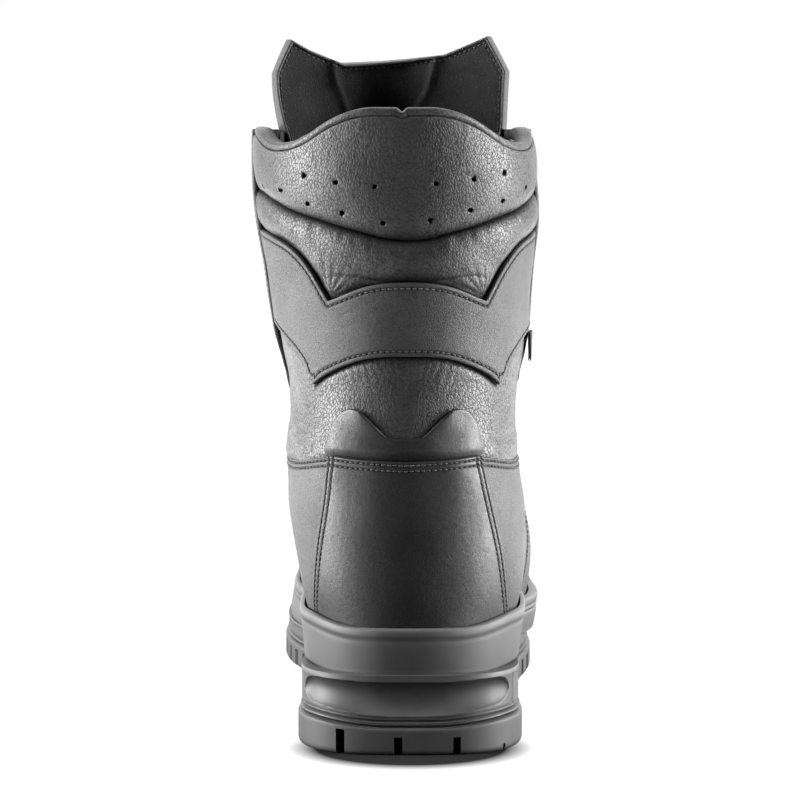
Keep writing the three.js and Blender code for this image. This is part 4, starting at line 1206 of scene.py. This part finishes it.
# The wall's inset is the profile plus the hollow, a power of one minus the squared distance from its
# middle line. Above its lips the wall is stretched up to the feather line.
def mouldWedge():
    heel = wedge["heelArc"]
    arcs = np.concatenate([graded(0, heel, 0.75, 0.4, [36, 44, 47, 50], 4), np.linspace(heel, 345, 150)[1:]])
    rows = np.unique(np.concatenate([np.linspace(-0.2, 3.6, 26), np.linspace(3.6, 20.4, 60)]))
    profile = curveThrough(wedge["profile"])
    halves = []
    for side in (lateral, medial):
        _, _, length = readByShare(*soleHalf(0, side), shares)
        ahead = heel / length + (1 - heel / length) * (arcs - heel) / (arcs[-1] - heel)
        share = np.where(arcs <= heel, arcs / length, ahead)
        plan = tabulateSole(share, side)
        y = plan[0, :, 1]
        low = groundHeight(y) + sole["treadTop"] + jointRise(arcs)
        top = np.minimum(30.4, form["feather"](y) - 1.6)
        over = rows[:, None] - 3.0
        rise = np.where(over > 0, 3 + over * (top - low - 3) / (wedge["height"] - 3), rows[:, None])
        inset = np.broadcast_to(profile(rows)[:, None], rise.shape).copy()
        arc = np.broadcast_to(arcs, rise.shape)
        end = wedge["lateralEnd"] if side > 0 else wedge["medialEnd"]
        middle = wedge["hollowMiddle"] + wedge["hollowRise"][0 if side > 0 else 1] * (arc / 40) ** 2
        half = wedge["hollowHalf"][0] + wedge["hollowHalf"][1] * (np.minimum(arc, 44) / 40) ** 2
        far = np.hypot((rise - middle) / half, np.clip(arc - end, 0, None) / wedge["roundEnd"])
        scoop = np.clip(1 - far**2, 0, 1) ** 0.75 * (1 + 0.2 * np.clip((rise - middle) / half, -1, 1))
        inset = inset + wedge["hollowDepth"] * scoop * (1 - 0.55 * smoothStep(18, 42, arc))
        # a fine crest over the hollow, and curved grooves down the outer corner
        inset = inset + 0.12 * bell(rise, middle + half + 1.2, 0.8) * (1 - smoothStep(end - 8, end + 4, arc))
        if side > 0:
            line = 45 + 0.04 * (rise - 8) + 0.012 * (rise - 10) ** 2
            inset = inset + 0.35 * bell(arc, line, 0.45) * smoothStep(2.5, 5, rise)
        halves.append(np.concatenate([soleAt(plan, inset), (low + rise)[..., None]], -1))
    # below and above, the wall's first and last ring run inwards to the middle line
    wall = wholeRings(halves)
    below = [drawnIn(wall[0], share, 0.1) for share in (0.98, 0.5)]
    above = [drawnIn(wall[-1], share, 0.1) for share in (0.5, 0.98)]
    points = np.stack([*below, *wall, *above])
    addPiece("wedge_rubber", points, tubeFaces(*points.shape[:2]), finishes["rubber"], ["midsole"])


mouldWedge()

# The tread: a wall with slots cut in as columns that step inwards, and a lugged underside.
tread = {
    "rearSlots": [(-25.8, 3.2, 8.4), (-4.4, 2.8, 6.8), (17.3, 2.6, 6.4), (37.6, 0.9, 2.2)],
    "lateralSlots": [-118, -98, -18, -4, 10, 24, 38, 52, 66, 80, 96, 112, 128],
    "medialSlots": [-118, -98, -12, 1, 13, 24, 35, 46, 60, 76, 92, 108, 124],
    "slotWidth": 4.6, "slotHeight": 7.6, "slotDepth": 8.5, "stepIn": 0.14, "waist": 5.5, "channel": 4.5,
    "rows": [10.0, 9.7, 9.3, 8.6, 8.42, 8.3, 7.6, 6.86, 6.74, 6.56, 6.3, 5, 3.5, 2.24, 2.1, 1.3, 0.7, 0.3,
        0.05, 0],
    "edge": ([0, 0.3, 0.7, 1.3, 9.3, 9.7, 10], [1.2, 0.55, 0.2, 0, 0, 0.15, 0.6]),
    "underRows": [2.0, 4.0, 6.5, 8.45, 9.0, 9.2, 12.6, 12.8, 13.9],
    "crossChannels": [-134, -112, -92, -16, 8, 32, 56, 80, 104],
}


# The wall's inset is its rounded edge, or the slot's depth in a slot's columns. At the waist the whole
# tread is lifted off the ground.
def mouldTread():
    halves = []
    stepIn = np.array([-tread["stepIn"], tread["stepIn"]])
    wallRows = np.array(tread["rows"])
    wallInset = np.interp(wallRows, *tread["edge"])
    for side in (lateral, medial):
        x, y = soleHalf(0, side)
        run = np.concatenate([[0], np.cumsum(np.hypot(np.diff(x), np.diff(y)))])
        slots = []
        for place, width, tall in tread["rearSlots"]:
            if np.sign(place) == side:
                aside = np.abs(x[:120] - last["heelLine"])
                slots.append((np.interp(abs(place), aside, run[:120]), width, tall))
        for place in tread["lateralSlots" if side > 0 else "medialSlots"]:
            slots.append((np.interp(place, y, run), tread["slotWidth"], tread["slotHeight"]))
        edges = np.concatenate([a + way * w / 2 + stepIn for a, w, _ in slots for way in (-1, 1)])
        arcs = np.unique(np.concatenate([np.arange(0, run[-1], 1.6), [run[-1]], edges]))
        clear = np.min(np.abs(arcs[:, None] - edges[None]), axis=1)
        arcs = arcs[(clear < 1e-9) | (clear > 0.3)]
        plan = tabulateSole(arcs / run[-1], side)
        yAt = plan[0, :, 1]
        waist = tread["waist"] * (smoothStep(-76, -70, yAt) - smoothStep(-36, -30, yAt))
        ground = groundHeight(yAt)
        rows = wallRows[:, None]
        inset = np.broadcast_to(wallInset[:, None], (len(wallRows), len(arcs))).copy()
        deep = np.zeros(inset.shape)
        for a, w, tall in slots:
            inside = (np.abs(arcs - a) <= w / 2 + 1e-6)[None, :] & (rows < tall)
            deep = np.where(inside, tread["slotDepth"] if tall > 3 else 1.2, deep)
        inset = np.maximum(inset, deep)
        z = ground + waist + rows * (1 - waist / 10 + jointRise(arcs) / 10)
        wall = np.concatenate([soleAt(plan, inset), z[..., None]], -1)
        # underside: rows go inwards, with a channel behind the edge lugs and cross channels
        inRows = np.array(tread["underRows"])[:, None]
        channel = ((inRows > 9.1) & (inRows < 12.7)) * tread["channel"]
        height = ground + np.maximum(waist, channel * (waist < 0.1))
        under = np.concatenate([soleAt(plan, np.maximum(inRows, deep[-1])), height[..., None]], -1)
        centre = under[-1:]
        steps = np.linspace(0.08, 0.99, 14)[:, None]
        target = soleMiddle(centre[..., 1])
        across = centre[..., 0] + (target - centre[..., 0]) * steps
        along = centre[..., 1] * (1 - 0.06 * steps)
        cross = np.zeros(across.shape)
        for spot in tread["crossChannels"]:
            lean = 0 if spot < -60 else 0.45 * np.abs(across - target)
            cross = np.maximum(cross, tread["channel"] * (np.abs(along + lean - spot) < 2.4))
        middleZ = np.maximum(groundHeight(along) + cross, ground + waist)
        inner = np.stack([across, along, middleZ], -1)
        halves.append(np.concatenate([wall, under, inner]))
    rings = wholeRings(halves)
    lids = [drawnIn(rings[0], share, 0.06) for share in (0.98, 0.5, 0.12)]
    points = np.stack([*lids, *rings])[::-1]
    addPiece("tread_rubber", points, tubeFaces(*points.shape[:2]), finishes["treadRubber"], ["outsole"],
        sharp=30)


mouldTread()
print("sole done")

# The tongue: smooth leather in front, foam between, suede behind, with two pointed wings whose
# edges are bound and stitched. It rides on its own body.
tongue = {
    "half": [(104, 25), (125, 31), (150, 37), (180, 45), (205, 53), (225, 58), (252, 60), (266, 60)],
    "top": [(-1, 251.2), (-0.83, 264.6), (-0.66, 261.1), (-0.48, 258.4), (-0.36, 256.6), (0, 257.6),
        (0.52, 259.3), (0.66, 262), (0.83, 265.4), (1, 251.8)],
    "columns": (0, 0.002, 0.006, 0.012, 0.02, 0.03), "peaks": [0.085, 0.915],
    "start": 104.6, "outer": -7.5, "middle": -11.0, "spread": (10.7, 7.6),
    "frontSeams": [("left", 2.0), ("right", 2.0), ("top", 2.0)],
    "rearSeams": [("left", 1.9, 40), ("right", 1.9, 40), ("top", 1.9, 2)],
    "foam": (-8.9, -12.7), "suede": (-13.0, -14.2),
    "binding": [(-0.5, -7.2), (0.1, -7.6), (0.3, -8.8), (0.35, -11), (0.3, -13), (0.1, -14.3), (-0.45, -14.6),
        (-0.85, -14.4), (-0.8, -13.9), (-0.4, -13.4), (-0.3, -11), (-0.3, -9), (-0.8, -8.0)],
}


# The tongue's grid, an inset within its outline. Gives u, level and the share of the half width.
def tongueGrid(inset, rows, columns, edge):
    half = curveThrough(tongue["half"])
    s = np.unique(np.concatenate([lines(0, 1, columns, tongue["columns"]), tongue["peaks"]]))
    share = 1 - 2 * s
    top = np.interp(share, *np.array(tongue["top"]).T) - inset
    level = lines(np.full(s.shape, tongue["start"] + inset), top, rows, edge)
    u = fromFront(share * (half(level) - inset), level)
    return u, level, np.broadcast_to(share, level.shape)


# Where the tongue's layers lie: a point of the surface and the way to the front. The wings open out
# flatter than the shaft: above the collar their tips move outwards and turn to face ahead.
def tongueAt(u, level, share):
    base, out = surfaceAt(u, level), normalAt(u, level)
    height = np.where(share > 0, smoothStep(188, 234, level), smoothStep(200, 248, level))
    spread = height * np.clip((np.abs(share) - 0.3) / 0.7, 0, 1) ** 1.5
    aside = np.where(share > 0, tongue["spread"][0], -tongue["spread"][1]) * spread
    middle = base + out * tongue["middle"] + np.stack([aside, 6 * spread, np.zeros(level.shape)], -1)
    ahead = out + np.array([0, 1, 0]) * (2.5 * spread)[..., None]
    ahead /= np.linalg.norm(ahead, axis=-1, keepdims=True)
    return middle - ahead * tongue["middle"], ahead


# The tongue's lift: creases from the inner ends of the wings down to the middle, and a bowl between.
def tongueFolds(level, share):
    arm = np.interp(level, [228, 237, 246, 258], [0.12, 0.34, 0.42, 0.47])
    stirred = np.abs(share) + 0.03 * softNoise(share * 3, level / 7, 82)
    fold = bell(stirred, arm, 0.035) * smoothStep(226, 238, level)
    bowl = smoothStep(-0.05, 0.08, arm - np.abs(share)) * smoothStep(228, 244, level)
    return 0.5 * softNoise(share * 5, level / 16, 81) + 1.5 * fold - 1.2 * bowl, fold


# The leather and the suede face, each at its height on the tongue's layers, and their stitches.
def sewTongueFaces():
    u, level, share = tongueGrid(0, 96, 120, fineEdge)
    lift, fold = tongueFolds(level, share)
    base, normal = tongueAt(u, level, share)
    _, panel = leatherPanel("tongue_leather", u, level, tongue["outer"] - lift * 0.5, 1.2, finishes["smooth"],
        ["tongue_outer"], 0.5, tongue["frontSeams"], body="tongue", place=(base, normal))
    sew("tongue_front_stitching", [seamLine(panel, *seam, 2, -2) for seam in tongue["frontSeams"]],
        finishes["thread"], body="tongue")

    # the suede face looks into the shaft, so its outer side is the lower one
    gaps = borderGaps(base)
    nearest = np.min(list(gaps.values()), axis=0)
    fuzz = 0.07 * softNoise(share * 160, level / 0.55, 83)
    sink = 0.35 * bell(nearest, 1.9, 0.35)
    rear = tongue["suede"][1] + roundedEdge(nearest, 0.6) - lift + fuzz * smoothStep(0.5, 2, nearest) + sink
    back = base + normal * rear[..., None]
    front = base + normal * (tongue["suede"][0] - lift * 0.8)[..., None]
    # a lighter edge band, partly wear and partly painted highlight, and painted shade along the sunk stitch
    # line and in the folds
    wearAndHighlight = 1 - smoothStep(0.3, 1.3, nearest)
    shade = np.clip(sink * 2 + 0.5 * fold, 0, 1)
    marks = {"wearAndHighlight": np.stack([0 * wearAndHighlight, wearAndHighlight]), "shade": np.stack([0 * shade, shade])}
    addPiece("tongue_suede", np.stack([front, back]), closedFaces(*u.shape), finishes["suede"],
        ["tongue_lining"], "tongue", marks)
    behind = {"front": back, "normal": -normal, "gaps": gaps}
    sew("tongue_rear_stitching", [seamLine(behind, *seam, -2) for seam in tongue["rearSeams"]],
        finishes["thread"], body="tongue")


# The foam between the faces, squeezed thin near its edges.
def padTongue():
    u, level, share = tongueGrid(1.4, 50, 60, plainEdge)
    base, normal = tongueAt(u, level, share)
    squeeze = 1.2 * (1 - smoothStep(0, 5, np.min(list(borderGaps(base).values()), axis=0)))
    front = base + normal * (tongue["foam"][0] - squeeze)[..., None]
    back = base + normal * (tongue["foam"][1] + squeeze * 0.8)[..., None]
    pad = addPiece("tongue_foam", np.stack([front, back]), closedFaces(*u.shape), finishes["foam"],
        ["tongue_padding"], "tongue")


# Leather binding round the free edges: a soft section that holds the three layers together.
def bindTongue():
    three = np.stack(tongueGrid(0, 60, 90, plainEdge), -1)
    rim = np.concatenate([three[2:, 0], three[-1, 1:], three[-2:1:-1, -1]])
    line, out = tongueAt(rim[:, 0], rim[:, 1], rim[:, 2])
    tangent = np.gradient(line, axis=0)
    tangent /= np.linalg.norm(tangent, axis=1, keepdims=True)
    away = np.cross(out, tangent)
    section = np.array(tongue["binding"])
    grid = line[:, None] + away[:, None] * section[None, :, :1] + out[:, None] * section[None, :, 1:]
    piece = addPiece("tongue_binding", grid, tubeFaces(*grid.shape[:2]), finishes["smooth"], (), "tongue")
    closeSeams(piece)


sewTongueFaces()
padTongue()
bindTongue()
print("tongue done")

# Linings: thin fabric shells inside the leather, one for each CAD lining.
lining = {"face": -5.2, "thick": 1.3, "low": 36.5, "backEnd": -70, "rimDrop": 4.4, "laceEdge": 19}


# One lining: a thin panel at a constant depth with broad noise.
def layLining(name, u, level, cadName):
    face = lining["face"] + 0.25 * softNoise(u * 14, level / 9, 91)
    leatherPanel(name, u, level, face, lining["thick"], finishes["lining"], [cadName], 0.4)


# Grid levels between two heights, the same in every column.
def levelRows(s, low, top, rows):
    return lines(np.full(s.shape, low), np.full(s.shape, top), rows, plainEdge)


# All linings lie between the same levels and ends as the leathers over them.
def layLinings():
    back, throat = reachTo(lining["backEnd"]), seams["throat"]
    above = throat + 0.5
    c = lines(-1, 1, 110, (0, 0.006))
    u, level, _ = backGrid(c, np.full(c.shape, lining["low"]), np.full(c.shape, throat), back, 30, plainEdge)
    layLining("heel_lining_fabric", u, level, "heel_lining")
    rim = seamLevel(collarTop, c, back) - lining["rimDrop"]
    u, level, _ = backGrid(c, np.full(c.shape, above), rim, back, 60, plainEdge)
    layLining("collar_lining_fabric", u, level, "collar_lining")
    s = lines(0, 1, 120, (0, 0.004))
    level = levelRows(s, lining["low"], throat, 40)
    start, end = vampReach(level, 1), 2 - vampReach(level, -1)
    layLining("vamp_lining_fabric", start + (end - start) * s, level, "vamp_lining")
    s = lines(0, 1, 50, (0, 0.01))
    for name, side in bothSides:
        for part, level in (("quarter", levelRows(s, lining["low"], throat, 30)),
                ("shaft", levelRows(s, above, facing["top"] - 1, 60))):
            long = lengthAt(level, side)
            end = vampReach(level, side) - 0.5 / long if part == "quarter" else 1 - lining["laceEdge"] / long
            start = back(level, side) + 0.5 / long
            u = start + (end - start) * s
            layLining(f"{part}_lining_fabric_{name}", u if side > 0 else (2 - u)[:, ::-1], level,
                f"{part}_lining_{name}")


layLinings()

# Lacing hardware: eyelets are turned rings, hooks are bent strips on an oval foot.
hardware = {
    "line": 25.0, "depth": 1.1, "eyelets": (109, 118, 129, 142), "hooks": (158, 174, 190, 206, 221),
    "ring": [(2.2, -0.6), (2.3, 0.5), (2.6, 0.95), (3.2, 1.15), (3.9, 0.95), (4.4, 0.35), (4.45, 0.0),
        (4.3, -0.3)],
    "hookLine": [(-4.3, 0.5), (-2, 0.5), (0, 0.5), (1.6, 0.6), (2.5, 1.1), (2.9, 2.2), (2.6, 3.4), (1.8, 4.3),
        (0.4, 4.8), (-1.6, 5.1), (-3.6, 5.5), (-4.8, 6.1)],
    "hookHalf": 3.4, "hookThick": 0.48,
}


# A piece's own axes (across, up the facing, outwards) set on a point of the surface.
def seat(points, arc, level, depth):
    u = fromFront(arc, level)
    out = normalAt(u, level)
    up = surfaceAt(u, level + 1) - surfaceAt(u, level - 1)
    up -= out * np.dot(up, out)
    up /= np.linalg.norm(up)
    across = np.cross(up, out)
    origin = surfaceAt(u, level) + out * depth
    return origin + points[:, :1] * across + points[:, 1:2] * up + points[:, 2:] * out


# The eyelet's section turned once round its axis.
def turnedRing():
    section = np.array(hardware["ring"])
    a = np.arange(40) / 40 * 2 * np.pi
    points = np.stack([np.outer(section[:, 0], np.cos(a)), np.outer(section[:, 0], np.sin(a)),
        np.broadcast_to(section[:, 1:], (len(section), 40))], -1)
    points = points[::-1]
    closed = np.concatenate([points, points[:1]])
    return closed.reshape(-1, 3), ringFaces(len(closed), 40).tolist()


# The hook's strip follows a bent line; its width narrows to a round nose, its edges are rounded.
def bentHook(side):
    path = np.array(hardware["hookLine"])
    fine = np.linspace(0, len(path) - 1, 40)
    line = np.stack([np.interp(fine, np.arange(len(path)), path[:, k]) for k in (0, 1)], -1)
    for _ in range(3):
        line[1:-1] = (line[:-2] + 2 * line[1:-1] + line[2:]) / 4
    tangent = np.gradient(line, axis=0)
    tangent /= np.linalg.norm(tangent, axis=1, keepdims=True)
    out = np.stack([-tangent[:, 1], tangent[:, 0]], -1)
    t = np.linspace(0, 1, len(line))
    foot, nose = np.clip((0.12 - t) / 0.12, 0, 1), np.clip((t - 0.86) / 0.14, 0, 1)
    width = hardware["hookHalf"] * np.sqrt(np.clip(1 - foot**2, 0.02, 1))
    width = width * np.sqrt(np.clip(1 - nose**2, 0.02, 1))
    width = width * (1 - 0.25 * smoothStep(0.3, 0.8, t))
    a = np.arange(16) / 16 * 2 * np.pi
    flat = np.sign(np.cos(a)) * np.abs(np.cos(a)) ** 0.5
    thick = hardware["hookThick"] * np.sign(np.sin(a)) * np.abs(np.sin(a)) ** 0.7
    x = line[:, :1] + out[:, :1] * thick
    z = line[:, 1:] + out[:, 1:] * thick
    y = width[:, None] * flat[None]
    points = np.stack([x * -side, y, z], -1)
    return points.reshape(-1, 3), tubeFaces(len(line), 16)


# Eyelets and hooks in a row down each facing, one distance from the front centre.
def fitHardware():
    for name, side in bothSides:
        ring, hook = turnedRing(), bentHook(side)
        for kind, cadName, (shape, faces), depth, spots in (
                ("eyelet_ring", "eyelet", ring, hardware["depth"] + 0.1, hardware["eyelets"]),
                ("speed_hook", "hook", hook, hardware["depth"], hardware["hooks"])):
            for k, level in enumerate(spots, 1):
                points = seat(shape, side * hardware["line"], float(level), depth)
                closeSeams(addPiece(f"{kind}_{name}_{k}", points, faces, finishes["blackMetal"],
                    [f"{cadName}_{name}_{k}"]))


fitHardware()

# The woven label: a folded tape caught in the lateral seam. Its two leaves curve gently.
label = {"wide": 15.0, "high": 11.0, "thick": 0.45, "gap": 0.35, "up": 1.8, "bend": 0.5, "turn": 0.2}


# The tape runs out to the fold and back: its leaves stand a gap apart that closes at the fold.
def foldLabel():
    low, high = (np.array(v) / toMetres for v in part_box("side_label"))
    middle = (low + high) / 2 + np.array([0, 0, label["up"]])
    run = np.linspace(-1, 1, 61) * label["wide"]
    out = label["wide"] / 2 - np.abs(run)
    gap = label["gap"] * np.sign(run) * smoothStep(0, 1.2, np.abs(run))
    t = np.linspace(-1, 1, 25)[:, None]
    x = gap + label["bend"] * np.sin(out / 5) * (1 + 0.3 * t)
    y = np.broadcast_to(out, x.shape)
    z = np.broadcast_to(t * label["high"] / 2, x.shape)
    points = middle + np.stack([x * np.cos(label["turn"]), y * np.cos(label["turn"]), z], -1)
    index = np.arange(x.size).reshape(x.shape)
    faces = np.stack([index[:-1, :-1], index[:-1, 1:], index[1:, 1:], index[1:, :-1]], -1).reshape(-1, 4)
    piece = addPiece("side_label_tape", points, faces, finishes["label"], ["side_label"])
    thicken = piece.modifiers.new("thickness", "SOLIDIFY")
    thicken.thickness = label["thick"] * toMetres
    thicken.offset = 0


foldLabel()

# The footbed: fabric over foam, dished and rounded at its edge, rings shrinking to the middle line.
footbed = {
    "inset": 15.3, "low": 3.2, "high": 7.0, "backPower": 2.75, "middle": -5,
    "section": [(0.0, 0.0), (0.25, 0.0), (0.6, 0.0), (0.96, 0.0), (1.0, 0.25), (1.0, 0.8), (0.985, 1.0),
        (0.9, 0.93), (0.7, 0.86), (0.4, 0.84), (0.15, 0.85), (0.0, 0.85)],  # shares of width and height
}


# Each ring is the sole's outline, drawn in by its share of the width and lifted by its share of the
# height over the feather line.
def layFootbed():
    share = np.linspace(0, 1, 161)
    halves = [[], []]
    for k, lift in footbed["section"]:
        for half, side in zip(halves, (lateral, medial)):
            x, y, _ = readByShare(*soleHalf(footbed["inset"], side, footbed["backPower"]), share)
            x = soleMiddle(y) + (x - soleMiddle(y)) * max(k, 0.004)
            y = footbed["middle"] + (y - footbed["middle"]) * (0.8 + 0.2 * k)
            z = form["feather"](y) + footbed["low"] + (footbed["high"] - footbed["low"]) * lift
            half.append(np.stack([x, y, z], -1))
    points = wholeRings(np.array(halves))
    piece = addPiece("footbed_insole", points, tubeFaces(*points.shape[:2]), finishes["lining"], ["footbed"])
    closeSeams(piece)


layFootbed()

# Pieces hidden inside keep their CAD shape.
hidden = {"shank": "steel", "puncture_plate": "steel", "insole_board": "board", "safety_toe_cap": "steel",
    "heel_stiffener": "board", "ankle_padding": "foam", "collar_padding": "foam"}
for nodeName, finishName in hidden.items():
    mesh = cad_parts[nodeName].data
    mesh.materials.clear()
    mesh.materials.append(finishes[finishName])
print("inside done")

# Floor, light and camera: a white studio with a soft light at each side and little from the front,
# so that the black leather shows its form by the bright bands along both flanks.
studio = {
    # floor colours: dark for the painted contact shadow under the boot, pale to both sides
    "floorHalf": 2.2, "floor": (0.012, 0.7), "shadowAt": (0.003, -0.14, 0), "shadowSize": (0.04, 0.036, 1),
    "front": 0.01, "back": 2.4, "top": 0.4,
    "side": {"power": 78.0, "size": (0.55, 1.3), "angle": 84, "far": 1.15, "up": 0.45},
    "low": {"power": 2.6, "size": (0.8, 0.22), "at": (0.34, 0.1, 0.03)},
    "lens": 136.6, "eye": (-0.00094, -1.255, 0.225), "down": 4.88,
}


# Places a camera or a lamp.
def setDown(name, data, location, rotation):
    placed = bpy.data.objects.new(name, data)
    placed.location = location
    placed.rotation_euler = [radians(angle) for angle in rotation]
    bpy.context.scene.collection.objects.link(placed)
    return placed


# A rectangular lamp of its size and power.
def areaLamp(name, look, location, rotation):
    lamp = bpy.data.lights.new(name, "AREA")
    lamp.shape = "RECTANGLE"
    lamp.size, lamp.size_y = look["size"]
    lamp.energy = look["power"]
    setDown(name, lamp, location, rotation)


# The floor's colour is dark in a strip under the boot and pale to both sides, so that its bounced light comes
# from the sides only. Seen by the camera it glows white, but in an ellipse close behind the heel the glow is
# left off and the dark strip shows as a painted contact shadow.
def layFloor():
    half = studio["floorHalf"]
    mesh = bpy.data.meshes.new("floor")
    corners = [(-half, -half, 0), (half, -half, 0), (half, half, 0), (-half, half, 0)]
    mesh.from_pydata(corners, [], [(0, 1, 2, 3)])
    finish, tree, shader = newFinish("pale floor", Roughness=0.9, Specular_IOR_Level=0.0,
        Emission_Color=(1, 1, 1, 1))
    spot = node(tree, "TexCoord").outputs["Object"]
    aside = node(tree, "VectorMath", {0: spot, 1: (1, 0, 0)}, operation="MULTIPLY").outputs[0]
    aside = node(tree, "VectorMath", {0: aside}, operation="LENGTH").outputs["Value"]
    dark, pale = (grey(value) for value in studio["floor"])
    heel = node(tree, "VectorMath", {0: spot, 1: studio["shadowAt"]}, operation="SUBTRACT").outputs[0]
    around = node(tree, "VectorMath", {0: heel, 1: studio["shadowSize"]}, operation="DIVIDE").outputs[0]
    far = node(tree, "VectorMath", {0: around}, operation="LENGTH").outputs["Value"]
    seen = node(tree, "LightPath").outputs["Is Camera Ray"]
    # painted contact shadow: dark colour near the middle line and no glow within the ellipse behind the heel
    finished(finish, tree, shader,
        Base_Color=blendColour(tree, mapTo(tree, aside, 0.06, 0.2, 0, 1), dark, pale),
        Emission_Strength=reckon(tree, "MULTIPLY", mapTo(tree, far, 0.88, 1.14, 0, 1), seen))
    mesh.materials.append(finish)
    setDown("floor", mesh, (0, 0, 0), (0, 0, 0))


# The world is bright ahead of the boot and a little above it, and white to the eye.
def lightWorld():
    world = bpy.data.worlds.new("studio")
    bpy.context.scene.world = world
    world.use_nodes = True
    tree = world.node_tree
    tree.nodes.clear()
    way = node(tree, "SeparateXYZ", {"Vector": node(tree, "TexCoord").outputs["Generated"]}).outputs
    ahead = mapTo(tree, way["Y"], 0.05, 0.55, studio["front"], studio["back"])
    glow = reckon(tree, "ADD", ahead, mapTo(tree, way["Z"], 0.55, 1.0, 0, studio["top"]))
    lit, white = (node(tree, "Background", {"Color": (1, 1, 1, 1), "Strength": strength}).outputs[0]
        for strength in (glow, 1.0))
    seen = node(tree, "LightPath").outputs["Is Camera Ray"]
    mixed = node(tree, "MixShader", {0: seen, 1: lit, 2: white}).outputs[0]
    node(tree, "OutputWorld", {"Surface": mixed})


# Two tall lamps stand beside the boot, and two low strips light the parts that lean in to the sole.
def setLamps():
    tall, low = studio["side"], studio["low"]
    angle = radians(tall["angle"])
    for side in (-1, 1):
        spot = (side * tall["far"] * np.sin(angle), -tall["far"] * np.cos(angle) - 0.1, tall["up"])
        areaLamp("side light", tall, spot, (84, 0, side * tall["angle"]))
        areaLamp("low light", low, (side * low["at"][0], *low["at"][1:]), (125, 0, side * 90))


# The camera stands straight behind the heel and looks down a little.
def setCamera():
    camera = bpy.data.cameras.new("camera")
    camera.lens = studio["lens"]
    camera.sensor_width = 36
    camera.clip_start, camera.clip_end = 0.05, 20
    bpy.context.scene.camera = setDown("camera", camera, studio["eye"], (90 - studio["down"], 0, 0))


layFloor()
lightWorld()
setLamps()
setCamera()
bpy.context.scene.view_settings.view_transform = "Standard"
print("studio set")
